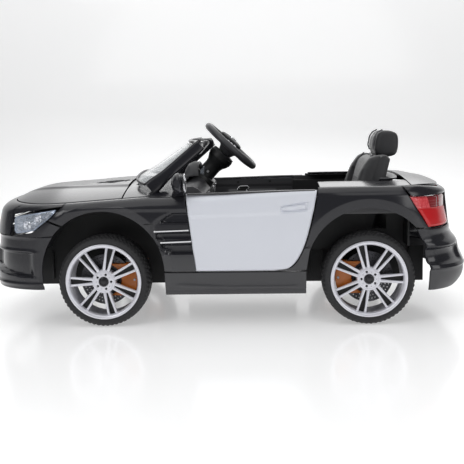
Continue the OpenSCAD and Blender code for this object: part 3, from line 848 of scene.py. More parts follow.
def bonnet():
    reach = FRONT_CAP - nose_end(262) - 24 - SEAM
    front = FRONT_CAP - reach * 0.995

    def point(u, v, depth):
        y = mix(front, -218, 1 - (1 - v) ** 1.6)
        x = u * bonnet_half(y, SEAM)
        return (x, y, bonnet_z(x, y) - depth + bonnet_relief(x, y))

    us, vs = spread(96, -1, 1), spread(60)
    return sheet(
        "bonnet_skin", grid(us, vs, lambda u, v: point(u, v, 0)),
        grid(us, vs, lambda u, v: point(u, v, SHELL))
    )


def cowl():
    def point(u, y, depth):
        x = u * (bonnet_half(y) - SEAM)
        rise = 3 * bump((y + 128) / 14) * ease((0.97 - abs(u)) / 0.05)
        dip = 2.5 * soft_box(abs(x), y, 20, 150, -196, -176, 6) * (1 if int(abs(x) / 5) % 2 else 0.3)
        return (x, y, bonnet_z(x, min(y, -165)) - depth + rise - dip)

    us, ys = spread(120, -1, 1), spread(30, -215, -110)
    return sheet(
        "cowl_skin", grid(us, ys, lambda u, y: point(u, y, 0)), grid(us, ys, lambda u, y: point(u, y, SHELL))
    )


def gill_front(z):
    """Station of the front end of the gill behind the front wheel."""
    return -150 + 0.018 * max(0, z - 205) ** 2.15 + 0.024 * max(0, 192 - z) ** 2.05


def gill(y, z):
    """Depth of the three slots of the gill."""
    depth = 0
    for low, high in ((222, 240), (187, 200), (157, 175)):
        inside = ease((z - low) / 3 + 0.5) * ease((high - z) / 3 + 0.5) * ease((y - gill_front(z) - 4) / 4)
        depth = max(depth, 8.5 * inside)
    whole = ease((z - 153) / 5) * ease((245 - z) / 5) * ease((y - gill_front(z) + 5) / 5)
    return max(depth, 2.6 * whole)


def lamp_low(y):
    return mix(197, 205, (y + 452) / 52) if y < -400 else mix(205, 252, (y + 400) / 62)


def lamp_high(y):
    return mix(238, 256, (y - LAMP_FRONT) / (LAMP_TIP - LAMP_FRONT))


def fender(name, flip):
    low = [arch_edge(FRONT.y, mix(129, 1, t)) for t in spread(48)] + [[y, 119] for y in spread(22, -125, -62)]
    top = [[-367, lamp_low(-367) - 1], [-352, lamp_low(-352) - 1]]
    top += [
        [y, rim_z(y) - 0.2] for y in spread(46, LAMP_TIP + 2, -120)
    ] + [[y, rim_z(y) - 0.2] for y in spread(21, -119, -83)]

    def relief(y, z):
        crease = 1.6 * bump((z - 252) / 9) * ease((y + 330) / 60)
        return arch_lip(FRONT.y, y, z, 17, 4.5) + gill(y, z) - crease

    return side_panel(name, low, top, 106, 46, relief, flip=flip)


def front_filler(name, flip):
    low = [[-446, 194.4], [-420, 194.4], [-394, 194.4]] + [
        arch_edge(FRONT.y, a) for a in (142, 138, 134, 131)
    ]
    top = [[y, lamp_low(y) - 1] for y in (-446, -434, -420, -406, -394, -382, -371)]
    return side_panel(name, low, top, 24, 8, lambda y, z: arch_lip(FRONT.y, y, z, 18, 4), flip=flip, bevel=0)


def sill(name, flip):
    def relief(y, z):
        blade = bump(
            (z - mix(89, 84, ease((y + 115) / 120))) / 5.5
        ) * ease((y + 122) / 40) * ease((165 - y) / 30)
        return -4 * blade + 2.5 * bump((z - 76) / 5) + arch_lip(
            FRONT.y, y, z, 12, 4
        ) + arch_lip(REAR.y, y, z, 12, 4)

    low = [[arch_y(FRONT.y, 67, 1), 67], [0, 67], [arch_y(REAR.y, 67, -1), 67]]
    top = [[arch_edge(FRONT.y, 1)[0], 116], [0, 116], [arch_edge(REAR.y, 179)[0], 116]]
    return side_panel(name, low, top, 90, 26, relief, thick=26, flip=flip)


def door_back(z):
    return mix(102, 190, (clamp(z - DOOR_Z, 0, 400) / 165) ** 0.32)


def door_fore(z):
    return mix(-62, -81, (z - DOOR_Z) / 160)


def door_top(y):
    return 279 + 4 * ease((y + 80) / 240)


def quarter(name, flip):
    start, end = arch_edge(REAR.y, 179), [197, rim_z(197) - 0.2]

    def relief(y, z):
        belt = 1.8 * ease((z - 268) / 10) * ease((y - 200) / 40)
        return arch_lip(REAR.y, y, z, 19, 5) + belt

    def make(depth):
        cells = []
        for s in spread(12):
            line = []
            for t in spread(34):
                z = mix(DOOR_Z, end[1], t)
                y = mix(door_back(min(z, 284)) + SEAM, mix(start[0], end[0], t), s)
                line.append((skin_x(y, z, depth + relief(y, z)), y, z))
            cells.append(line)
        low = [arch_edge(REAR.y, mix(179, 42, t)) for t in spread(56)] + [[406, 203], [418, 203]]
        top = [[y, rim_z(y) - 0.2] for y in spread(58, 197, 363.5)]
        for t in spread(76)[1:]:
            p, q = along(low, t), along(top, t)
            line = []
            for s in spread(34):
                y, z = mix(p[0], q[0], s), mix(p[1], q[1], s)
                line.append((skin_x(y, z, depth + relief(y, z)), y, z))
            cells.append(line)
        return cells

    return sheet(name, make(0), make(SHELL), flip=flip)


def deck_edge(y):
    return skin_x(y, rim_z(y) - 0.2, SHELL + 1)


def rear_deck():
    """Deck behind the seat with a rounded bay for it, and the shelves beside the seat."""

    def bay(x):
        return 376 + 10 * ease((150 - abs(x)) / 60)

    def deck(depth):
        cells = []
        for u in spread(72, -1, 1):
            line = []
            for v in spread(30):
                y = mix(386, 464, v)
                x = u * deck_edge(y)
                hollow = 2.2 * soft_box(abs(x), y, 0, 120, 412, 440, 14)
                line.append((x, y, deck_z(x, y) - hollow - depth))
            cells.append(line)
        return cells

    def shelf(depth):
        cells = []
        for s in spread(16):
            line = []
            for y in spread(64, 197, 384):
                x = mix(187, deck_edge(y), s)
                line.append((x, y, deck_z(x, y) - depth - 2 * bump((s - 0.06) / 0.12)))
            cells.append(line)
        return cells

    def collar(depth):
        cells = []
        for a in spread(40, -90, 90):
            line = []
            for s in spread(8):
                turn = math.radians(a)
                x = math.sin(turn) * mix(176, 186, s)
                y = 330 + math.cos(turn) ** 0.6 * mix(44, 56, s) if abs(a) < 90 else 330
                line.append((x, y, 300 + 2.4 * math.sin(math.pi * s) - 10 * (1 - s) ** 2 - depth))
            cells.append(line)
        return cells

    parts = [sheet("deck_top", deck(0), deck(SHELL)), sheet("collar", collar(0), collar(2.4), bevel=0)]
    for flip in (False, True):
        parts.append(sheet("shelf", shelf(0), shelf(SHELL), flip=flip))
    return joined("rear_deck_skin", parts)


def tail_panel():
    strip = 269

    def low(f):
        return strip if abs(f) > 1 else BUMPER_TOP + SEAM

    def angle(f, z):
        if abs(f) <= 1:
            return f * (LAMP_IN - 1)
        end = end_angle(1, mix(381.5, 368.5, (z - strip) / 20), z)
        return math.copysign(mix(LAMP_IN - 0.7, end, abs(f) - 1), f)

    def point(f, t, depth):
        rim = end_rim(1, angle(f, 290))
        z = mix(low(f), rim - 0.2, t)
        a = angle(f, max(z, strip))
        lip = -3.5 * bump((z - rim + 7) / 9) * ease((55 - abs(a)) / 20)
        plate = 6 * soft_box(abs(a), z, 0, 15, 211, 243, 2.5)
        return end_pt(1, a + 0.0001, z, rim, depth + lip + plate)

    fs = spread(16, -2, -1.02) + [-1.001] + spread(80, -1, 1) + [1.001] + spread(16, 1.02, 2)
    ts = spread(30)
    return sheet(
        "tail_skin", grid(fs, ts, lambda f, t: point(f, t, 0)), grid(fs, ts, lambda f, t: point(f, t, SHELL))
    )


class PATROL_OT_front(bpy.types.Operator):
    """Build the front bumper, the nose with its grille, the bonnet and the cowl"""

    bl_idname = "patrol.front"
    bl_label = "Front end"

    def execute(self, context):
        skin = bumper("front_bumper_skin", -1)
        cut(skin, slot_cutter(150, 56, 130, NOSE_Y + 20))
        fillers = [front_filler("filler", flip) for flip in (False, True)]
        whole = joined("front_bumper_shell", [skin, *fillers])
        place(whole, "gloss_black", "body", "gloss_black", "front_bumper")
        place(nose_panel(), "gloss_black", "body", "gloss_black", "nose_panel")
        bars = [nose_bar("bar", z, 132, 26) for z in (106, 118, 130, 142, 154)]
        place(joined("intake_bars", bars), "satin_black", "body", "satin_black", "grille")
        bars = [nose_bar("bar", z, 100, 20, 3.4, 4) for z in (211, 227)]
        place(joined("grille_bars", bars), "chrome", "body", "chrome")
        bars = []
        for z in spread(3, 207, 231):
            bars.append(nose_bar("mesh_bar", z, 112, 22, 1.2, 2))
        place(joined("grille_mesh", bars), "recess_black", "body", "satin_black")
        place(bonnet(), "gloss_black", "body", "gloss_black", "bonnet")
        slots = []
        for side in (-1, 1):
            for k in range(5):
                y = -286 + 12 * k
                z = bonnet_z(side * 92, y) + 0.4
                outline = rounded(-9, -1.2, 9, 1.2, 1)
                fin = slab("fin", outline, "Z", -1.4, 1.2, 0.3, 1)
                slots.append(moved(fin, shift(side * 92, y, z) @ turned("X", 28)))
        place(joined("bonnet_louvres", slots), "recess_black", "body", "satin_black")
        place(cowl(), "gloss_black", "body", "gloss_black", "cowl")
        return {"FINISHED"}


class PATROL_OT_sides(bpy.types.Operator):
    """Build the fenders with their gills, the sills, the rear quarters and the arch liners"""

    bl_idname = "patrol.sides"
    bl_label = "Sides"

    def execute(self, context):
        sills = []
        for (side, sign), flip in zip(SIDES, (False, True)):
            wing = fender(f"fender_{side}_skin", flip)
            place(wing, "gloss_black", "body", "gloss_black", f"fender_{side}")
            second_material(wing, "satin_black", lambda x, y, z: z < 153 and y > -135)
            flank = quarter(f"quarter_{side}_skin", flip)
            place(flank, "gloss_black", "body", "gloss_black", f"quarter_{side}")
            second_material(flank, "satin_black", lambda x, y, z: z < 166 and y < 200)
            sills.append(sill(f"sill_{side}", flip))
        pins = [
            lathe(
                "pin", [(0.3, 112), (2.6, 112), (2.6, 140.5), (1.8, 142), (0.3, 142)], "Z",
                (sign * 280, -52, 0), 24
            )
            for _, sign in SIDES
        ]
        place(joined("sill_shells", sills), "satin_black", "body", "gloss_black", "sills")
        place(joined("hinge_pins", pins), "dark_steel", "body", "steel")
        strips = []
        for flip in (False, True):
            for z, front, back in ((202.2, -147, -75), (179, -134, -70)):
                low, top = [[front, z], [back, z + 2]], [[front, z + 3], [back, z + 5]]
                strips.append(side_panel("strip", low, top, 24, 4, thick=2.4, flip=flip, bevel=0.5, lift=2))
        place(joined("gill_strips", strips), "chrome", "body", "chrome", "side_vents")
        # Thin dark strips laid on the skin along two panel seams on each side: painted shade of the seam gaps.
        seam_shades = []
        for flip in (False, True):
            for (a, b), (c, d) in (((-169, 217.5), (-149, 218.5)), ((162, 165.2), (176, 165.2))):
                low, top = [[a, b], [c, d]], [[a, b + 1], [c, d + 1]]
                seam_shades.append(side_panel("seam", low, top, 8, 2, thick=1, flip=flip, bevel=0, lift=0.5))
        place(joined("painted_seam_shade", seam_shades), "recess_black", "body", "satin_black")
        liners = []
        for _, sign in SIDES:
            for axle in (FRONT.y, REAR.y):
                cells = [[], []]
                for ring, r in enumerate((135, 137)):
                    for a in spread(40, 22, 158):
                        line = []
                        edge = min(268, skin_x(axle + (r + 2) * math.cos(math.radians(a)), 230) - 9)
                        for x in spread(14, 196, edge):
                            wave = 1.2 * bump(((x - 196) % 18 - 9) / 5)
                            turn = math.radians(a)
                            line.append(
                                (
                                    sign * x, axle + (r + wave) * math.cos(turn),
                                    ARCH_Z - 4 + (r + wave) * math.sin(turn)
                                )
                            )
                        cells[ring].append(line)
                liners.append(sheet("liner", *cells, bevel=0))
        place(joined("arch_liners", liners), "chassis_black", "body", "satin_black")
        return {"FINISHED"}


class PATROL_OT_rear(bpy.types.Operator):
    """Build the rear deck, the tail panel and the rear bumper"""

    bl_idname = "patrol.rear"
    bl_label = "Rear end"

    def execute(self, context):
        place(rear_deck(), "gloss_black", "body", "gloss_black", "rear_deck")
        place(tail_panel(), "gloss_black", "body", "gloss_black", "tail_panel")
        skin = bumper("rear_bumper_skin", 1)
        place(skin, "gloss_black", "body", "gloss_black", "rear_bumper")
        second_material(skin, "satin_black", lambda x, y, z: z < 112)
        return {"FINISHED"}


# ---------------------------------------------------------------- lamps


def lamp_grid(inset, depth, columns=34, rows=20):
    """Points of a headlight's face, moved in from its edge and from the skin."""
    cells = []
    for t in spread(columns):
        y = mix(LAMP_FRONT + 7 + inset, LAMP_TIP - 14 - inset * 2.4, t)
        low, high = lamp_low(y) + 2 + inset, lamp_high(y) - 3 - inset
        round_end = 7 * (1 - math.sqrt(max(0, 1 - (1 - min(1, t * 12)) ** 2)))
        tip = 0.42 * ease((t - 0.86) / 0.14) * (high - low)
        low, high = low + round_end, high - round_end
        low += tip * 0.6
        cells.append(
            [(skin_x(y, mix(low, high, s), depth(y, t, s)), y, mix(low, high, s)) for s in spread(rows)]
        )
    return cells


def headlight(name, flip):
    def bowl(y, t, s):
        edge = min(1.0, 4 * min(s, 1 - s), 7 * min(t, 1 - t))
        return 3 + 11 * ease(edge)

    rim = sheet("rim", lamp_grid(0, lambda *a: 1.2), lamp_grid(0, lambda *a: 13), flip=flip, bevel=0.4,
                holes=lambda i, j: 2 <= i <= 30 and 2 <= j <= 17)
    inner = sheet(
        "bowl", lamp_grid(3, bowl), lamp_grid(3, lambda y, t, s: bowl(y, t, s) + 1.2), flip=flip, bevel=0
    )
    lens = sheet("lens", lamp_grid(0.6, lambda *a: -0.2), lamp_grid(0.6, lambda *a: 1.0), flip=flip, bevel=0)
    tubes = []
    for y, z, r in ((-412, 218, 10.5), (-386, 232, 8.5)):
        x = skin_x(y, z, 10)
        profile = [
            (0.2, 0), (r - 2.5, 0.6), (r - 1.2, 3), (r, 7), (r - 0.8, 7.4), (r - 2.2, 4), (r - 3.8, 2),
            (0.2, 3.4)
        ]
        cup = lathe("cup", profile, "X", (0, 0, 0), 40)
        cup.data.transform(turned("Z", -28))
        cup.data.transform(shift(x, y, z))
        if flip:
            moved(cup, mirrored())
        tubes.append(cup)
    return rim, inner, lens, joined(f"{name}_cups", tubes)


def lamp_out(z):
    return end_angle(1, mix(422, 380, (z - 203) / 66), z)


def tail_light(name, flip):
    """Lens in three parts with shallow steps between them."""

    def point(u, v, depth):
        z = mix(BUMPER_TOP + SEAM + 0.5, 266.5, v)
        a = mix(LAMP_IN + 0.8, lamp_out(z), u)
        groove = 1.6 * bump((v - 0.60) / 0.03) + 1.6 * bump(
            (u - 0.52 + 0.1 * v) / 0.025
        ) * (1 if v > 0.6 else 0)
        rim = 2.2 * (1 - ease(min(u, 1 - u, v, 1 - v) / 0.06))
        step = 1.2 * ease((v - 0.6) / 0.04) - 1.3 * bump((v - 0.3) / 0.34)
        return end_pt(1, -a, z, 290, depth + groove + rim + step)

    us, vs = spread(64), spread(48)
    o = sheet(
        name, grid(us, vs, lambda u, v: point(u, v, 0)), grid(us, vs, lambda u, v: point(u, v, 9)),
        flip=not flip, bevel=0
    )
    return o


class PATROL_OT_lamps(bpy.types.Operator):
    """Build the headlights and the tail lights"""

    bl_idname = "patrol.lamps"
    bl_label = "Lamps"

    def execute(self, context):
        for (side, _), flip in zip(SIDES, (False, True)):
            rim, bowl, lens, cups = headlight(f"headlight_{side}", flip)
            rim.name, bowl.name, lens.name = f"headlight_rim_{side}", f"headlight_bowl_{side}", f"headlight_lens_{side}"
            place(rim, "lamp_bezel", "body", "lamp_clear", f"headlight_{side}")
            place(bowl, "reflector", "body", "chrome")
            place(cups, "chrome", "body", "chrome")
            place(lens, "lens_clear", "body", "lamp_clear")
            lamp = tail_light(f"tail_lens_{side}", flip)
            place(lamp, "lamp_red", "body", "lamp_red", f"tail_light_{side}")

            def split(y, z):
                return z > 243 and y < mix(424, 416, (z - 243) / 24)

            second_material(lamp, "lamp_pale", lambda x, y, z: split(y, z))
            second_material(lamp, "lamp_deep", lambda x, y, z: z > 243 and not split(y, z))
        return {"FINISHED"}


# ---------------------------------------------------------------- doors


def door_relief(y, z):
    """Depth of the crease and of the handle's bay on the outside of a door."""
    line = mix(232.5, 239.5, (y + 70) / 250)
    crease = 1.5 * ease((line - z + 4) / 8) * (1 - 0.55 * ease((line - z - 10) / 60))
    s = (y - 114) / 60
    if not -0.15 < s < 1.15:
        return crease
    low, high = mix(240, 243.5, s) - 1.5, mix(251.5, 260.5, s)
    middle_z, half = (low + high) / 2, (high - low) / 2
    t = abs(z - middle_z) / half
    ends = ease((s + 0.02) / 0.1) * ease((1.04 - s) / 0.1)
    bay = 5 * ease((1.25 - t) / 0.45) * ends
    grip = 6.8 * ease(
        (0.62 - abs(z - middle_z - 0.5) / half) / 0.3
    ) * ease((s - 0.02) / 0.1) * ease((0.93 - s) / 0.1)
    return crease + bay - grip


def door_edge(i, t):
    z = mix(DOOR_Z, door_top(mix(-80, 188, i)), t)
    return mix(door_fore(z), door_back(z), i), z


def door(name, flip):
    def make(depth, inside=None):
        cells = []
        for i in spread(86):
            line = []
            for t in spread(60):
                y, z = door_edge(i, t)
                if inside is not None:
                    line.append((inside, y, z))
                    continue
                edge = min(y - door_fore(z), door_back(z) - y, z - DOOR_Z, door_top(y) - z)
                roll = 2.2 * (1 - math.sqrt(max(0, 1 - (1 - clamp(edge / 2.6)) ** 2)))
                line.append((skin_x(y, z, depth + door_relief(y, z) + roll), y, z))
            cells.append(line)
        return cells

    return sheet(name, make(0), make(0, side_x(200) - 21.6), flip=flip, bevel=0)


def door_card(name, flip):
    """Inner wall of a door with its armrest and pocket."""
    x0 = side_x(200) - 22.6

    def point(y, z, depth):
        rest = 7 * soft_box(y, z, -10, 110, 232, 240, 8)
        pocket = -1.8 * soft_box(y, z, -30, 96, 160, 208, 5)
        band = 2.2 * ease((z - 257) / 3)
        rib = 0.9 * bump(((z - 160) % 12 - 6) / 2.6) * soft_box(y, z, -24, 90, 163, 205, 3)
        return (x0 - (rest + pocket + band + rib if depth else 0) - depth, y, z)

    ys, zs = spread(80, -70, 168), spread(60, 128, 276)
    return sheet(
        name, grid(ys, zs, lambda y, z: point(y, z, 0)), grid(ys, zs, lambda y, z: point(y, z, 2.4)),
        flip=flip, bevel=0.8
    )


class PATROL_OT_doors(bpy.types.Operator):
    """Build the doors, their inner walls and handles"""

    bl_idname = "patrol.doors"
    bl_label = "Doors"

    def execute(self, context):
        for (side, sign), flip in zip(SIDES, (False, True)):
            body = f"{side}_door"
            x = side_x(200) - 25
            leaf = door(f"door_{side}_skin", flip)
            cut(
                leaf,
                lathe("bore", [(0.2, 117), (3.3, 117), (3.3, 147), (0.2, 147)], "Z", (sign * 280, -52, 0), 32)
            )
            place(leaf, "door_white", body, "white", f"door_{side}")
            card = door_card(f"door_card_{side}", flip)
            place(card, "satin_black", body, "satin_black", f"door_trim_{side}")
            ring = tube(
                "ring",
                [
                    (x - 3.2, a, b) for a,
                    b in (
                        (8, 241), (30, 241.4), (36, 244), (41, 254), (38, 256.4), (18, 256), (13, 253),
                        (7, 243.5), (8, 241), (12, 240.9)
                    )
                ],
                1.5,
                12,
            )
            plate = slab("plate", [(10, 243), (31, 243), (37, 254), (16, 254)], "X", x - 2.6, x - 1.2, 0.3, 1)
            screws = []
            for y, z in ((12, 267), (98, 269), (-56, 266)):
                outline = [(3.3, 0), (3.3, 0.7), (2.9, 1), (1.3, 1), (1.1, 0.4), (0.2, 0.4), (0.2, 0)]
                screw = lathe("screw", [(r, -d) for r, d in outline], "X", (x - 1.9, y, z), 24)
                screws.append(screw)
            pieces = (
                (ring, "chrome", "chrome"), (plate, "recess_black", "satin_black"),
                (joined("screws", screws), "recess_black", "satin_black")
            )
            for (piece, finish, kind), label in zip(pieces, ("ring", "plate", "screws")):
                piece.name = f"door_{label}_{side}"
                if flip:
                    moved(piece, mirrored())
                place(piece, finish, body, kind)
            top = []
            for y in spread(30, -78, 186):
                z = door_top(y)
                top.append([(side_x(278) - b, y, z + a) for a, b in rounded(-2.6, 6, 0.9, 23, 1.2, 3)])
            rail = loft(f"door_rail_{side}", top)
            if flip:
                moved(rail, mirrored())
            place(rail, "satin_black", body, "satin_black")
        return {"FINISHED"}


# ---------------------------------------------------------------- screen and mirrors


def screen_pt(u, t):
    return (
        u * mix(228, 200, t),
        -208 + 47 * abs(u) ** 6 + t * mix(142, 113, abs(u)),
        mix(309 - 22 * u * u, 389 - 6 * u * u, t),
    )


def frame_rail(name, path, halves, sides=20):
    """Flattened tube: halves gives its half-sizes off the screen and across it, one pair for each point."""
    path = [Vector(p) for p in path]
    rings = []
    for i, p in enumerate(path):
        d = (path[min(i + 1, len(path) - 1)] - path[max(i - 1, 0)]).normalized()
        off = Vector((0, -0.57, 0.82))
        off = (off - d * off.dot(d)).normalized()
        side = d.cross(off)
        a, b = halves[i]
        ring = []
        for k in range(sides):
            turn = 2 * math.pi * k / sides
            c, s = math.cos(turn), math.sin(turn)
            ring.append(
                p + off * math.copysign(abs(c) ** 0.7, c) * a + side * math.copysign(abs(s) ** 0.7, s) * b
            )
        rings.append(ring)
    return loft(name, rings)


class PATROL_OT_screen(bpy.types.Operator):
    """Build the windscreen, its frame and the mirrors"""

    bl_idname = "patrol.screen"
    bl_label = "Windscreen and mirrors"

    def execute(self, context):
        us, ts = spread(48, -0.91, 0.91), spread(20, 0.03, 0.93)
        outer = grid(us, ts, screen_pt)
        inner = [[(x, y + 1.8, z - 1.8) for x, y, z in row] for row in outer]
        place(sheet("screen_pane", outer, inner, bevel=0.4), "screen_clear", "body", "screen", "windscreen")
        left = [screen_pt(1, mix(0.0, 0.93, t)) for t in spread(16)]
        bend = [screen_pt(u, mix(0.95, 1, (1 - u) * 12)) for u in (0.985, 0.95, 0.92)]
        across = [screen_pt(u, 1) for u in spread(20, 0.88, -0.88)]
        path = left + bend + across + [(-x, y, z) for x, y, z in bend[::-1] + left[::-1]]
        halves = []
        for x, y, z in path:
            side = ease((abs(x) - 180) / 24)
            foot = 1 + 0.35 * ease((320 - z) / 30)
            halves.append((mix(3.6, 12.5 * foot, side), mix(3.2, 8, side)))
        place(
            frame_rail("screen_surround", path, halves), "gloss_black", "body", "gloss_black",
            "windscreen_frame"
        )
        seal = [screen_pt(u * 0.93, 0.045) for u in spread(24, -1, 1)]
        place(
            tube("screen_seal", [(x, y - 1, z + 2) for x, y, z in seal], 2.6, 12), "satin_black", "body",
            "satin_black"
        )
        outline = [(-70, 352), (-66, 357), (-48, 378), (-50, 384), (-56, 386), (-68, 380), (-74, 362)]
        rings = []
        for x in spread(16, -52, 52):
            shrink = math.sqrt(max(0.02, 1 - abs(x / 53) ** 5))
            rings.append([(x, -61 + (y + 61) * shrink, 369 + (z - 369) * shrink) for y, z in outline])
        inner_mirror = loft("inner_mirror", rings, 1.2)
        place(inner_mirror, "satin_black", "body", "satin_black")
        for (side, sign), flip in zip(SIDES, (False, True)):
            rings = []
            for x in spread(26, 262, 313):
                s = (x - 262) / 51
                swell = math.sin(math.pi * clamp(0.16 + 0.8 * s)) ** 0.45 if s < 0.999 else 0.4
                y, z, a, b = mix(-94, -93, s), mix(
                    293, 303, ease(s * 2)
                ), mix(12, 18, s), mix(14, 22, ease(s * 1.6))
                ring = []
                for k in range(32):
                    turn = 2 * math.pi * k / 32
                    c, q = math.cos(turn), math.sin(turn)
                    flat = 0.62 if c > 0 else 1
                    ring.append(
                        (x, y + a * swell * c * flat, z + b * swell * (1 - 0.02 * bump((q * 6) % 2 - 1)) * q)
                    )
                rings.append(ring)
            shell = loft("mirror_shell", rings)
            foot = loft(
                "foot",
                [
                    [
                        (x, y + a * w, z + b * w * 0.55) for a,
                        b in ((-1, -1), (1, -1), (1.1, 0), (1, 1), (-1, 1), (-1.1, 0))
                    ]
                    for x, y, z, w in (
                        (258, -97, 268, 14), (266, -97, 276, 12), (275, -95, 284, 10), (284, -94, 290, 9)
                    )
                ],
                1.2,
            )
            body = joined("mirror_body", [shell, foot])
            glass_line = [(math.cos(t) * 17, math.sin(t) * 18) for t in spread(40, 0, 2 * math.pi)[:-1]]
            outline = [(290 + a * 0.95, 303 + b) for a, b in glass_line]
            glass = slab("glass", outline, "Y", -82.5, -79.5, 0.8)
            rim = tube(
                "rim", [(290 + a * 1.04, -80.5, 303 + b * 1.06) for a, b in glass_line + glass_line[:2]], 1.4,
                10
            )
            pieces = ((
                body, "gloss_black", "gloss_black", f"mirror_{side}_shell"
            ), (glass, "mirror_glass", "chrome", f"mirror_{side}_glass"),
                      (rim, "chrome", "chrome", f"mirror_{side}_rim"))
            for piece, finish, kind, label in pieces:
                piece.name = label
                if flip:
                    moved(piece, mirrored())
                place(piece, finish, "body", kind)
            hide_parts(f"mirror_{side}")
        return {"FINISHED"}


# ---------------------------------------------------------------- cabin

SHAFT_TILT = 47
WHEEL_AT = (0, 4, 371)


def shaft_frame():
    """Frame on the steering shaft: +Z up the shaft, origin in the steering wheel's middle."""
    return shift(*WHEEL_AT) @ Matrix.Rotation(math.radians(SHAFT_TILT - 90), 4, "X")


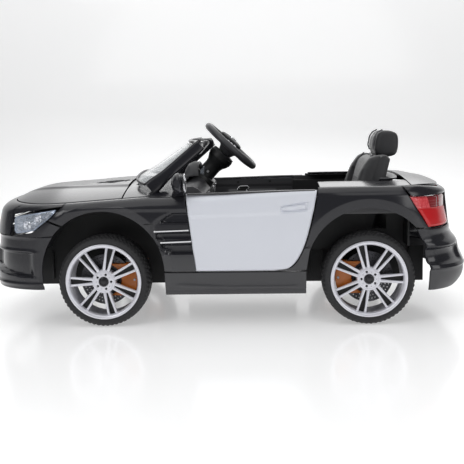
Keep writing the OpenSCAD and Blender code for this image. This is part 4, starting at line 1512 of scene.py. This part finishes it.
class PATROL_OT_cabin(bpy.types.Operator):
    """Build the dashboard, the gauge, the steering column, the pedal, the buckle and the cabin's trim"""

    bl_idname = "patrol.cabin"
    bl_label = "Cabin"

    def execute(self, context):
        def dash_ring(x):
            side = abs(x)
            pod = 9 * ease((52 - side) / 26)
            points = [(-107, 262), (-107, 284), (
                -98, 288 + pod * 0.5
            ), (-84, 291 + pod), (-70, 292 + pod), (-58, 286 + pod * 0.7),
                      (-46, 274), (-45, 268), (-48, 254), (-52, 240), (-55, 234), (-62, 234), (-66, 246), (-70, 258), (-84, 262)]
            return [(x, y, z) for y, z in points]

        dash = loft("dash_top", [dash_ring(x) for x in spread(60, -231, 231)], 1.4)
        cone = lathe(
            "clear", [(0.2, -135), (35.5, -135), (35.5, -126), (28.5, -88), (28, -60), (0.2, -60)], "Z",
            (0, 0, 0), 48
        )
        moved(cone, shaft_frame())
        cut(dash, cone)
        place(dash, "satin_black", "body", "satin_black", "dashboard")
        hood = []
        for x in spread(28, -46, 46):
            arc = math.sqrt(max(0.05, 1 - (x / 47) ** 2))
            hood.append(
                [
                    (x, y, 296 + (z - 296) * arc) for y,
                    z in (
                        (-106, 296), (-104, 318), (-97, 330), (-84, 336), (-72, 335), (-71, 331), (-84, 329),
                        (-94, 320), (-96, 298)
                    )
                ]
            )
        hood = loft("gauge_hood", hood)
        place(hood, "satin_black", "body", "satin_black")
        dials = []
        for x in (-20, 20):
            dial = lathe(
                "dial", [(0.2, 0), (14, 0), (15.5, 2.6), (17, 2.6), (17, -3), (0.2, -3)], "Y", (0, 0, 0), 48
            )
            moved(dial, shift(x, -84, 312) @ Matrix.Rotation(math.radians(-18), 4, "X"))
            dials.append(dial)
        place(joined("dial_rings", dials), "chrome", "body", "chrome")
        faces, needles = [], []
        for x in (-20, 20):
            face = lathe("face", [(0.2, 0.4), (13.6, 0.4), (13.6, 0.9), (0.2, 1.2)], "Y", (0, 0, 0), 48)
            moved(face, shift(x, -84, 312) @ Matrix.Rotation(math.radians(-18), 4, "X"))
            faces.append(face)
            for k in range(11):
                tick = slab("tick", rounded(10.2, -0.35, 12.8, 0.35, 0.2, 2), "Y", 1.3, 1.7, 0)
                moved(
                    tick,
                    shift(x, -84, 312) @ Matrix.Rotation(math.radians(-18), 4, "X") @ Matrix.Rotation(
                        math.radians(-30 + 24 * k), 4, "Y"
                    )
                )
                needles.append(tick)
            hand = slab("hand", [(-2, -0.9), (10, -0.3), (10, 0.3), (-2, 0.9)], "Y", 1.7, 2.3, 0.1, 1)
            moved(
                hand,
                shift(x, -84, 312) @ Matrix.Rotation(
                    math.radians(-18), 4, "X"
                ) @ Matrix.Rotation(math.radians(40), 4, "Y")
            )
            needles.append(hand)
        place(joined("dial_faces", faces), "recess_black", "body", "satin_black")
        place(joined("dial_marks", needles), "gauge_white", "body", "silver")
        lid = []
        for t in spread(10, -1, 1):
            lid.append(
                [
                    (
                        x * 42, -66 + 9 * math.sqrt(max(0, 1 - x * x)) * 0.9 + 0.6 * t,
                        314 + 12 * t * math.sqrt(max(0.04, 1 - x * x * 0.9))
                    )
                    for x in spread(30, -1, 1)
                ]
            )
        back = [[(x, y - 1, z) for x, y, z in row] for row in lid]
        place(sheet("gauge_lens", lid, back, bevel=0), "lens_clear", "body", "lamp_clear")
        vents = []
        for x in (-190, -88, 88, 190):
            for k in range(5):
                bar = slab("vent_bar", rounded(-15, -1, 15, 1, 0.9, 3), "Y", -1.5, 2.6, 0.4, 1)
                moved(
                    bar,
                    shift(x, -45.5 - 1.1 * k * 0.6, 270 - 5 * k) @ Matrix.Rotation(math.radians(-12), 4, "X")
                )
                vents.append(bar)
        place(joined("dash_vents", vents), "chrome", "body", "chrome")
        outline = [(7.6, -127.5), (
            32.5, -127.5
        ), (33.5, -120), (28.5, -93), (26.5, -91), (20.5, -90), (20.2, -64), (22, -56), (28, -46),
                   (29.5, -36), (28.5, -24.5), (24, -23.5), (7.6, -23.5)]
        column = lathe("column_cover", outline, "Z", (0, 0, 0), 64, bevel=0.8)
        moved(column, shaft_frame())
        place(column, "column_black", "body", "satin_black", "steering_column")
        screws = []
        for s, turn in ((-80, 0), (-80, 180), (-105, 20), (-105, 160)):
            r = 20.3 if s > -90 else 29.6
            screw = lathe(
                "screw", [(0.2, -1), (3.2, -1), (3.2, 0.6), (2.4, 1.3), (1, 0.8), (0.2, 0.8)], "X", (0, 0, 0),
                24
            )
            moved(screw, shaft_frame() @ Matrix.Rotation(math.radians(turn), 4, "Z") @ shift(r, 0, s))
            screws.append(screw)
        place(joined("column_screws", screws), "steel", "body", "steel")
        seam_ring = lathe(
            "column_band", [(29.4, -42), (30.2, -41), (30.2, -30), (29, -29)], "Z", (0, 0, 0), 64
        )
        moved(seam_ring, shaft_frame())
        place(seam_ring, "column_black", "body", "satin_black")
        pedal = softened("pedal_plate", "foot_pedal", 1.2)
        ribs = []
        for k in range(6):
            t = (k + 0.5) / 6
            y, z = mix(-87, -33.5, t), mix(119.5, 83.5, t)
            ribs.append(tube("rib", [(x, y, z) for x in spread(6, -64, -16)], 1.8, 10))
        pedal = joined("pedal_plate", [pedal, *ribs])
        place(pedal, "steel", "body", "silver", "foot_pedal")
        walls = []
        for (side, sign), flip in zip(SIDES, (False, True)):
            cells = [[], []]
            for y in spread(70, 160, 372):
                outer_x = min(deck_edge(max(y, 197)) - 3, 262)
                top = rim_z(max(y, 197)) - 5
                for n, depth in enumerate((0, 2.5)):
                    line = [
                        (outer_x - depth - (2.5 if z > top - 15 else 0), y, z) for z in spread(16, 232, top)
                    ]
                    cells[n].append(line)
            walls.append(sheet("wall", *cells, flip=flip, bevel=0.5))
        place(joined("rear_side_walls", walls), "satin_black", "body", "satin_black")
        buckle = slab("belt_buckle", rounded(170, 249, 191, 263, 2.4), "X", -255.5, -247, 1.4)
        place(buckle, "buckle_red", "body", "lamp_red")
        catch = slab("belt_catch", rounded(173.5, 252.5, 187.5, 259.5, 1.6), "X", -247.4, -246.2, 0.5)
        place(catch, "buckle_red", "body", "lamp_red")
        mat = []
        for k in range(15):
            mat.append(slab("rib", rounded(-118, -1.6, 118, 1.6, 1.4, 3), "Z", 76.3, 78.6, 0.6, 1))
            moved(mat[-1], shift(0, -20 + 7 * k, 0))
        place(joined("floor_mat", mat), "tyre_rubber", "body", "satin_black")
        return {"FINISHED"}


class PATROL_OT_steering(bpy.types.Operator):
    """Build the steering wheel with its hub pad and buttons"""

    bl_idname = "patrol.steering"
    bl_label = "Steering wheel"

    def execute(self, context):
        rings = []
        for k in range(128):
            a = 2 * math.pi * k / 128
            grip = 1 + 0.1 * (
                bump((abs((math.degrees(a) + 360 - 30) % 360) - 10) / 26) + bump(
                    (abs((math.degrees(a) + 360 - 110) % 360) - 10) / 26
                )
            )
            ring = []
            for m in range(24):
                t = 2 * math.pi * m / 24
                r = 69.5 + 8.4 * grip * math.cos(t)
                ring.append((r * math.cos(a), r * math.sin(a), 8.2 * grip * math.sin(t)))
            rings.append(ring)
        n = 24
        points = [p for ring in rings for p in ring]
        faces = []
        for i in range(128):
            for k in range(n):
                a, b = i * n + k, i * n + (k + 1) % n
                c, d = ((i + 1) % 128) * n + (k + 1) % n, ((i + 1) % 128) * n + k
                faces.append((a, b, c, d))
        hoop = settle(from_points("wheel_hoop", points, faces))
        place(moved(hoop, shaft_frame()), "satin_black", "steering", "satin_black", "steering_wheel")
        spokes = []
        for a, wide in ((0, 10), (180, 10), (-62, 8), (-118, 8)):
            cells = []
            for s in spread(14, 18, 66):
                w = wide * (1 + 0.5 * bump((s - 18) / 30))
                h = 5.5 - 0.02 * (s - 18)
                cells.append(
                    [
                        (s, w * p, h * q) for p,
                        q in (
                            (-1, -0.7), (-0.7, -1), (0.7, -1), (1, -0.7), (1, 0.7), (0.7, 1), (-0.7, 1),
                            (-1, 0.7)
                        )
                    ]
                )
            spoke = loft("spoke", cells, 0.8)
            moved(spoke, Matrix.Rotation(math.radians(a), 4, "Z"))
            spokes.append(spoke)
        boss = lathe(
            "boss", [(7, -22.5), (17, -22.5), (21, -14), (27, -8), (30, 0), (28, 5), (7, 5)], "Z", (0, 0, 0),
            64, bevel=0.8
        )
        spokes = joined("wheel_spokes", spokes + [boss])
        place(moved(spokes, shaft_frame()), "satin_black", "steering", "satin_black")
        pad = []
        for t in spread(18):
            h = mix(3, 17, t)
            shrink = math.sqrt(max(0.03, 1 - (max(0, t - 0.45) / 0.56) ** 2.6)) * (1 + 0.05 * t)
            ring = []
            for k in range(48):
                a = 2 * math.pi * k / 48
                c, s = math.cos(a), math.sin(a)
                x = 31 * math.copysign(abs(c) ** 0.62, c) * (1 - 0.18 * (s < 0) * abs(s))
                y = -8 + 29 * math.copysign(abs(s) ** 0.7, s)
                ring.append((x * shrink, -8 + (y + 8) * shrink, h))
            pad.append(ring)
        pad = loft("horn_pad", pad)
        place(moved(pad, shaft_frame()), "column_black", "steering", "satin_black")
        emblem = lathe(
            "horn_ring", [(8.5, 15.5), (10.5, 15.5), (10.5, 17.9), (9.6, 18.5), (8.5, 17.9)], "Z", (0, -8, 0),
            48
        )
        place(moved(emblem, shaft_frame()), "chrome", "steering", "chrome")
        buttons = []
        for sign in (-1, 1):
            for k, (x, y) in enumerate(((39, 8), (41, -2), (37, -11))):
                outline = rounded(-5, -3.6, 5, 3.6, 2.6)
                button = slab("button", [(a, b) for a, b in outline], "Z", 3, 8.6 - 0.5 * k, 1.2)
                buttons.append(moved(button, shift(sign * x, y, 0)))
        place(moved(joined("wheel_buttons", buttons), shaft_frame()), "rim_silver", "steering", "silver")
        return {"FINISHED"}


# ---------------------------------------------------------------- wheels

SPOKES = 7


def tyre_profile():
    tread = []
    for x in (-25, -23.8, -22.6, -12, -10.8, -9.6, -1.2, 0, 1.2, 9.6, 10.8, 12, 22.6, 23.8, 25):
        groove = any(abs(x - g) < 0.5 for g in (-23.8, -10.8, 0, 10.8, 23.8))
        tread.append((TYRE_R - 0.011 * (abs(x) / 5) ** 3 - (2.4 if groove else 0), x))
    right = [
        (92.6, 31.5), (89.5, 34), (88.4, 34.4), (87.6, 34.0), (85.6, 34.6), (84.8, 34.2), (82.6, 33.8),
        (80.2, 33), (78.6, 31)
    ]
    left = [(r, -x) for r, x in reversed(right)]
    return left + [(95.4, -28.2)] + tread + [(95.4, 28.2)] + right


def tread_wave(k, m, r, d):
    """Cross grooves of the tread: short ones on the shoulders and blocks between the long grooves."""
    side = abs(d)
    if r < 91.5:
        return 0
    if side > 24.5:
        return 2.0 if k % 3 == 0 else 0
    if 11 < side < 23:
        return 1.9 if (k + 1) % 3 == 0 else 0
    if 1 < side < 10:
        return 1.6 if k % 6 == 0 else 0
    return 0


def make_tyre():
    return lathe("tyre", tyre_profile(), "X", turns=180, wave=tread_wave)


def make_rim():
    """Barrel and lip, seven pairs of bars and the hub, with its outer face towards +X."""
    barrel = lathe(
        "barrel",
        [(72.6, -30.5), (78, -32.6), (78.4, -31), (77.4, -28), (77.4, 29), (78.6, 32.4), (80, 33.6), (79.6, 35.2), (77.4, 36), (74.6, 35.4),
         (72.6, 33.4), (71.2, 29), (71.4, 22), (74.6, 18), (75, -26)],
        turns=144,
    )
    parts = [barrel]
    for k in range(SPOKES):
        for s in (-1, 1):
            rings = []
            for t in spread(10):
                r = mix(20, 74, t)
                off = s * mix(4.3, 8.6, t)
                w = mix(3.4, 2.6, ease(t * 1.4)) + 0.9 * ease((t - 0.86) / 0.14)
                face = 29.5 + 1.6 * math.sin(math.pi * t) - 1.2 * t
                back = mix(14, 20, t)
                rings.append(
                    [
                        (x, r, off + z) for x,
                        z in (
                            (back, -w * 0.6), (face - 2.5, -w), (face, -w * 0.72), (face + 0.3, 0),
                            (face, w * 0.72), (face - 2.5, w), (back, w * 0.6)
                        )
                    ]
                )
            bar = loft("bar", rings, 0.5)
            parts.append(moved(bar, Matrix.Rotation(2 * math.pi * k / SPOKES, 4, "X")))
    hub = lathe(
        "hub",
        [
            (7, 8), (23, 12), (25.4, 20), (25, 29), (23.6, 30.9), (21.4, 31.2), (20.8, 30.4), (20.2, 30.4),
            (19.6, 31.3), (11.4, 31.6), (10.6, 31), (10.4, 28.4), (7, 28.4)
        ],
        turns=96
    )
    holes = []
    for k in range(5):
        a = 2 * math.pi * (k + 0.5) / 5
        holes.append(
            lathe(
                "hole", [(0.1, 27.2), (2.6, 27.2), (2.9, 34), (0.1, 34)], "X",
                (0, 15.6 * math.cos(a), 15.6 * math.sin(a)), 20
            )
        )
        a = 2 * math.pi * k / 5
        holes.append(
            lathe(
                "dot", [(0.1, 29.4), (1.2, 29.4), (1.3, 34), (0.1, 34)], "X",
                (0, 15.6 * math.cos(a), 15.6 * math.sin(a)), 14
            )
        )
    cut(hub, joined("holes", holes))
    barrel_back = lathe("hub_back", [(6.2, -26), (13, -26), (13, 10), (6.2, 10)], turns=48, bevel=0.6)
    return joined("rim", parts + [hub, barrel_back])


def make_webs():
    """Dark webs between the bars of each pair, and the lug bolts."""
    parts = []
    for k in range(SPOKES):
        rings = []
        for t in spread(6):
            r, w = mix(22, 72, t), mix(2.6, 6.6, t)
            rings.append([(x, r, z) for x, z in ((17, -w), (24 - 2 * t, -w), (24 - 2 * t, w), (17, w))])
        parts.append(moved(loft("web", rings), Matrix.Rotation(2 * math.pi * k / SPOKES, 4, "X")))
    for k in range(5):
        a = 2 * math.pi * (k + 0.5) / 5
        parts.append(
            lathe(
                "bolt", [(0.1, 25), (2.2, 25), (2.2, 28.6), (1.5, 29), (1.1, 28.2), (0.1, 28.2)], "X",
                (0, 15.6 * math.cos(a), 15.6 * math.sin(a)), 6
            )
        )
    return joined("webs", parts)


def make_cap():
    return lathe(
        "cap",
        [
            (0.1, 28.6), (9.9, 28.6), (10.1, 31), (9.2, 32.3), (7.2, 32.9), (6.8, 32.2), (6.2, 32.1),
            (5.6, 32.9), (2.4, 33.4), (0.1, 33.5)
        ],
        turns=64
    )


def make_disc():
    """Drilled brake disc."""

    def hole(i, j):
        return (i % 6 == (j // 2) % 6) and j in (3, 6, 9) or (i % 6 == (j // 2 + 3) % 6) and j in (3, 6, 9)

    us, rs = spread(132, 0, 360), spread(12, 26, 54)

    def make(x):
        return [[(x, r * math.cos(math.radians(a)), r * math.sin(math.radians(a))) for r in rs] for a in us]

    plate = sheet("plate", make(0.5), make(-4.5), holes=hole, bevel=0)
    bell = lathe("bell", [(12, -5), (28, -5), (28, 2), (26, 8), (24, 9.4), (12, 9.4)], turns=72, bevel=0.6)
    return joined("disc", [plate, bell])


class PATROL_OT_wheels(bpy.types.Operator):
    """Build the four wheels with their tyres and brake discs"""

    bl_idname = "patrol.wheels"
    bl_label = "Wheels"

    def execute(self, context):
        masters = (
            (make_tyre(), "tyre_rubber", "tyre_black", "tyre"),
            (make_rim(), "rim_silver", "silver", "wheel"),
            (make_webs(), "recess_black", "satin_black", None),
            (make_cap(), "gloss_black", "gloss_black", None),
            (make_disc(), "disc_steel", "steel", None),
        )
        for where, centre, turn in (("front", FRONT, 180), ("rear", REAR, 0)):
            for side, sign in SIDES:
                spin = 90 + turn
                matrix = shift(
                    sign * WHEEL_X, centre.y, AXLE_Z
                ) @ Matrix.Scale(sign, 4, (1, 0, 0)) @ Matrix.Rotation(math.radians(spin - 90), 4, "X")
                for master, finish, kind, node in masters:
                    piece = copied(master, f"{where}_{side}_{master.name}", matrix)
                    nodes = [f"{node}_{where}_{side}"] if node else []
                    place(piece, finish, f"{where}_{side}_wheel", kind, *nodes)
        for master, *_ in masters:
            bpy.data.objects.remove(master)
        return {"FINISHED"}


class PATROL_OT_chassis(bpy.types.Operator):
    """Build the calipers, the axle beam, the steering knuckles and the gearboxes"""

    bl_idname = "patrol.chassis"
    bl_label = "Chassis"

    def execute(self, context):
        for side, sign in SIDES:
            caliper = softened(f"caliper_{side}", f"front_caliper_{side}", 1.4, 3)
            place(caliper, "caliper_orange", f"{side}_knuckle", "caliper", f"front_caliper_{side}")
            knuckle = softened(f"knuckle_{side}_body", f"knuckle_{side}", 0.8)
            place(knuckle, "dark_steel", f"{side}_knuckle", "steel", f"knuckle_{side}")
        place(
            softened("calipers_rear", "rear_calipers", 1.4, 3), "caliper_orange", "body", "caliper",
            "rear_calipers"
        )
        place(softened("axle_beam", "front_axle_beam", 1.0), "dark_steel", "body", "steel", "front_axle_beam")
        place(
            softened("gearbox_cases", "drive_gearboxes", 1.6), "chassis_black", "body", "satin_black",
            "drive_gearboxes"
        )
        for where, centre, way, body_name in (("front", FRONT, 1, "knuckle"), ("rear", REAR, -1, "body")):
            for side, sign in SIDES:
                bolts = []
                for a in (-22, 0, 22):
                    y, z = centre.y + way * 62 * math.cos(
                        math.radians(a)
                    ), AXLE_Z + 62 * math.sin(math.radians(a))
                    bolts.append(
                        lathe(
                            "bolt", [(0.2, 250), (3, 250), (3, 252.4), (2, 253.2), (0.2, 253.2)], "X",
                            (0, y, z), 6, mirror=sign < 0
                        )
                    )
                bolts = joined(f"caliper_bolts_{where}_{side}", bolts)
                place(bolts, "steel", f"{side}_knuckle" if where == "front" else "body", "steel")
        ribs = []
        for sign in (-1, 1):
            for y in (-392, -352, 182, 206, 398):
                x = 159 if y < 0 or y > 390 else (185 if y > 160 else 159)
                ribs.append(
                    slab(
                        "rib", rounded(y - 2, 84 if y < 390 else 90, y + 2, 146, 1.5, 3), "X", sign * x - 1.5,
                        sign * x + 7.5 * sign, 0.8
                    )
                )
            for y0, y1, z in ((-352, -170, 226), (215, 372, 262)):
                x = sign * (168 if y0 < 0 else 196)
                ribs.append(
                    tube(
                        "stay", [(x, mix(y0, y1, t), z + 10 * math.sin(math.pi * t)) for t in spread(10)], 5,
                        12
                    )
                )
        place(joined("well_ribs", ribs), "chassis_black", "body", "satin_black")
        return {"FINISHED"}


# ---------------------------------------------------------------- seat


def block(name, outline, x0, x1, round_by=8, across=14):
    """Rounded block from a side view given as [station, height], tapered near its ends."""
    cy = sum(p[0] for p in outline) / len(outline)
    cz = sum(p[1] for p in outline) / len(outline)
    size = max(max(abs(p[0] - cy), abs(p[1] - cz)) for p in outline)
    rings = []
    for t in spread(across):
        x = mix(x0, x1, 0.5 - 0.5 * math.cos(math.pi * t))
        edge = min(x - x0, x1 - x)
        inset = round_by * (1 - math.sqrt(max(0, 1 - (1 - clamp(edge / round_by)) ** 2)))
        k = 1 - inset / size
        rings.append([(x, cy + (p[0] - cy) * k, cz + (p[1] - cz) * k) for p in outline])
    return loft(name, rings)


def stuffed(o, slack=3.0, pressure=4.0):
    """Fills a block like a cushion: cloth blown up a little from inside, its travel held to a few millimetres."""
    m = o.modifiers.new("remesh", "REMESH")
    m.mode = "VOXEL"
    m.voxel_size = 5 * MM
    settle(o)
    start = [v.co.copy() for v in o.data.vertices]
    cloth = o.modifiers.new("cloth", "CLOTH")
    cloth.settings.quality = 4
    cloth.settings.use_pressure = True
    cloth.settings.uniform_pressure_force = pressure
    cloth.settings.effector_weights.gravity = 0
    cloth.settings.tension_stiffness = 40
    cloth.point_cache.frame_start = 1
    cloth.point_cache.frame_end = 20
    for f in range(1, 21):
        bpy.context.scene.frame_set(f)
    graph = bpy.context.evaluated_depsgraph_get()
    swollen = [v.co.copy() for v in o.evaluated_get(graph).data.vertices]
    o.modifiers.clear()
    bpy.context.scene.frame_set(1)
    for v, p, q in zip(o.data.vertices, start, swollen):
        d = q - p
        v.co = p + d * min(1.0, slack * MM / max(d.length, 1e-9))
    smooth = o.modifiers.new("smooth", "SMOOTH")
    smooth.iterations = 6
    smooth.factor = 0.5
    fine = o.modifiers.new("fine", "SUBSURF")
    fine.levels = fine.render_levels = 1
    return settle(o, 60)


def taper(z):
    """How much narrower the backrest is at a height."""
    return mix(1, 0.8, ease((z - 170) / 180))


def tapered(o, wanted=True):
    for v in o.data.vertices:
        v.co.x *= taper(v.co.z / MM) if wanted else 1
    return o


class PATROL_OT_seat(bpy.types.Operator):
    """Build the seat shell, its pads with their piping, and the headrest"""

    bl_idname = "patrol.seat"
    bl_label = "Seat"

    def execute(self, context):
        shell_line = [(84, 102), (84, 130), (88, 134), (100, 134), (262, 122), (284, 128), (296, 160), (336, 336), (346, 346), (356, 347), (364, 338),
                      (306, 118), (286, 112), (270, 114), (108, 124), (107, 101)]
        shell = tapered(block("seat_shell", shell_line, -148, 148, 7, 18))
        place(shell, "leather_side", "body", "seat_black", "seat")
        pads = []
        cushion = [
            (94, 136), (92, 144), (98, 151), (160, 150), (250, 140), (268, 138), (272, 130), (262, 124)
        ]
        pads.append(("cushion", cushion, -108, 108, "leather", 0.85))
        back = [
            (270, 142), (266, 152), (312, 322), (320, 340), (334, 348), (344, 344), (338, 322), (288, 140)
        ]
        pads.append(("backrest", back, -104, 104, "leather", 0.85))
        for side, sign in SIDES:
            low = [(100, 138), (98, 152), (112, 166), (160, 165), (244, 156), (264, 148), (262, 130)]
            pads.append((f"bolster_low_{side}", low, sign * 107, sign * 146, "leather_side", 0.9))
            high = [
                (262, 150), (252, 176), (284, 270), (300, 318), (318, 343), (340, 348), (352, 340),
                (338, 310), (292, 148)
            ]
            pads.append((f"bolster_{side}", high, sign * 102, sign * 147, "leather_side", 0.9))
        head = [
            (341, 343), (337, 358), (340, 380), (345, 396), (356, 402), (376, 401), (390, 395), (394, 384),
            (393, 358), (388, 344), (364, 339)
        ]
        pads.append(("headrest", head, -51, 51, "leather_side", 0.9))
        face = [
            (336, 358), (334, 368), (338, 388), (343, 395), (348, 394), (349, 380), (346, 358), (341, 354)
        ]
        pads.append(("headrest_face", face, -40, 40, "leather", 0.85))
        for name, outline, x0, x1, finish, fill in pads:
            pad = tapered(block(f"seat_{name}", outline, min(x0, x1), max(x0, x1), 9, 12), "head" not in name)
            stuffed(pad)
            place(pad, finish, "body", "seat_black")
        lines = []
        for side, sign in SIDES:
            x = sign * 105
            lines.append(
                [
                    (x, 98, 154), (x, 160, 154), (x, 248, 145), (x, 262, 150), (x, 268, 176), (x, 300, 294),
                    (x, 318, 337), (x, 330, 348)
                ]
            )
            x = sign * 45
            lines.append([(x, 338, 356), (x, 334, 368), (x, 338, 388), (x, 345, 398), (x, 356, 403.5)])
        welts = []
        for line in lines:
            path = [
                along([(px * taper(pz) if abs(px) > 100 else px, py, pz) for px, py, pz in line], t)
                for t in spread(60)
            ]
            for _ in range(3):
                path = [path[0]] + [
                    [(a + b * 2 + c) / 4 for a, b, c in zip(*path[i - 1:i + 2])]
                    for i in range(1, len(path) - 1)
                ] + [path[-1]]
            welts.append(tube("welt", path, 1.7, 10))
        place(joined("seat_piping", welts), "thread", "body", "seat_black")
        flutes = []
        for k in range(5):
            s = (k + 1) / 6
            y, z = mix(268, 308, s), mix(168, 318, s)
            flutes.append(
                tube(
                    "flute",
                    [(x * taper(z), y - 4.2 * (1 - (x / 98) ** 4) + 2.5, z) for x in spread(24, -92, 92)],
                    1.0, 8
                )
            )
        place(joined("seat_stitching", flutes), "thread", "body", "seat_black")
        return {"FINISHED"}


# ---------------------------------------------------------------- stage


class PATROL_PG_stage(bpy.types.PropertyGroup):
    """Camera and light of the studio."""

    camera: FloatVectorProperty(
        name="Camera", description="Place of the camera", subtype="TRANSLATION",
        default=(1.9545, 0.0793, 0.4134)
    )
    yaw: FloatProperty(
        name="Yaw", description="Turn of the camera from straight across", subtype="ANGLE",
        default=math.radians(-2.23)
    )
    pitch: FloatProperty(
        name="Pitch", description="Tilt of the camera below the horizon", subtype="ANGLE",
        default=math.radians(7.26)
    )
    roll: FloatProperty(
        name="Roll", description="Roll of the camera", subtype="ANGLE", default=math.radians(-1.02)
    )
    lens: FloatProperty(
        name="Lens", description="Focal length in millimetres", default=63.42, min=10, max=300
    )
    light: FloatProperty(
        name="Light", description="Power of the overhead light", subtype="POWER", default=30.0, min=0
    )


class PATROL_OT_stage(bpy.types.Operator):
    """Build the floor, the backdrop, the lights and the camera"""

    bl_idname = "patrol.stage"
    bl_label = "Studio"

    def execute(self, context):
        studio = context.scene.patrol_stage
        profile = [(6, 0), (-1.6, 0)] + [
            (-1.6 - 1.2 * math.sin(a), 1.2 - 1.2 * math.cos(a)) for a in spread(16, 0, math.pi / 2)
        ] + [(-2.8, 5)]
        points = [(x * 1000, y * 1000, z * 1000) for y in (-6, 6) for x, z in profile]
        n = len(profile)
        floor = from_points("studio_floor", points, [(i, i + 1, n + i + 1, n + i) for i in range(n - 1)])
        settle(floor)
        floor.data.materials.append(bpy.data.materials["studio_floor"])

        def area(name, at, aim, size, power):
            light = bpy.data.lights.new(name, "AREA")
            light.shape = "RECTANGLE"
            light.size, light.size_y = size
            light.energy = power
            o = bpy.data.objects.new(name, light)
            context.scene.collection.objects.link(o)
            o.location = at
            o.rotation_euler = (Vector(aim) - Vector(at)).to_track_quat("-Z", "Y").to_euler()

        area("overhead", (0.1, 0, 2.3), (0, 0, 0), (2.6, 3.2), studio.light)
        area("key", (2.2, -1.6, 1.7), (0.1, -0.2, 0.15), (1.2, 1.4), studio.light * 0.65)
        area("fill", (2.2, 1.9, 1.2), (0.1, 0.2, 0.15), (1.2, 1.6), studio.light * 0.5)
        area("back", (-1.9, 0.2, 1.4), (0, 0, 0.2), (2.6, 1.2), studio.light * 0.4)
        world = bpy.data.worlds.new("studio_air")
        world.use_nodes = True
        world.node_tree.nodes["Background"].inputs["Color"].default_value = (0.95, 0.97, 1, 1)
        world.node_tree.nodes["Background"].inputs["Strength"].default_value = 0.14
        context.scene.world = world
        context.scene.view_settings.view_transform = "Standard"
        camera = bpy.data.cameras.new("camera")
        camera.lens = studio.lens
        camera.sensor_width = 36
        camera.clip_end = 50
        yaw, pitch, roll = studio.yaw, studio.pitch, studio.roll
        ahead = Vector((-math.cos(yaw) * math.cos(pitch), math.sin(yaw) * math.cos(pitch), -math.sin(pitch)))
        right = ahead.cross(Vector((0, 0, 1))).normalized()
        up = right.cross(ahead)
        right, up = math.cos(roll) * right + math.sin(roll) * up, math.cos(roll) * up - math.sin(roll) * right
        o = bpy.data.objects.new("camera", camera)
        context.scene.collection.objects.link(o)
        o.matrix_world = Matrix.Translation(studio.camera) @ Matrix((right, up, -ahead)).transposed().to_4x4()
        context.scene.camera = o
        return {"FINISHED"}


OPERATORS = (
    PATROL_OT_finishes,
    PATROL_OT_front,
    PATROL_OT_sides,
    PATROL_OT_rear,
    PATROL_OT_lamps,
    PATROL_OT_doors,
    PATROL_OT_screen,
    PATROL_OT_cabin,
    PATROL_OT_steering,
    PATROL_OT_wheels,
    PATROL_OT_chassis,
    PATROL_OT_seat,
    PATROL_OT_stage,
)


class PATROL_PT_panel(bpy.types.Panel):
    """Sidebar panel that lists the settings and the build steps"""

    bl_idname = "PATROL_PT_panel"
    bl_label = "Ride-on Patrol Car"
    bl_space_type = "VIEW_3D"
    bl_region_type = "UI"
    bl_category = "Patrol Car"

    def draw(self, context):
        for group in (context.scene.patrol_look, context.scene.patrol_stage):
            box = self.layout.box()
            for name in group.__class__.__annotations__:
                box.prop(group, name)
        for operator in OPERATORS:
            self.layout.operator(operator.bl_idname)


CLASSES = (PATROL_PG_look, PATROL_PG_stage, *OPERATORS, PATROL_PT_panel)


def register():
    for c in CLASSES:
        bpy.utils.register_class(c)
    bpy.types.Scene.patrol_look = PointerProperty(type=PATROL_PG_look)
    bpy.types.Scene.patrol_stage = PointerProperty(type=PATROL_PG_stage)


def unregister():
    del bpy.types.Scene.patrol_look
    del bpy.types.Scene.patrol_stage
    for c in reversed(CLASSES):
        bpy.utils.unregister_class(c)


def main():
    register()
    for operator in OPERATORS:
        group, name = operator.bl_idname.split(".")
        getattr(getattr(bpy.ops, group), name)()


if __name__ == "__main__":
    main()
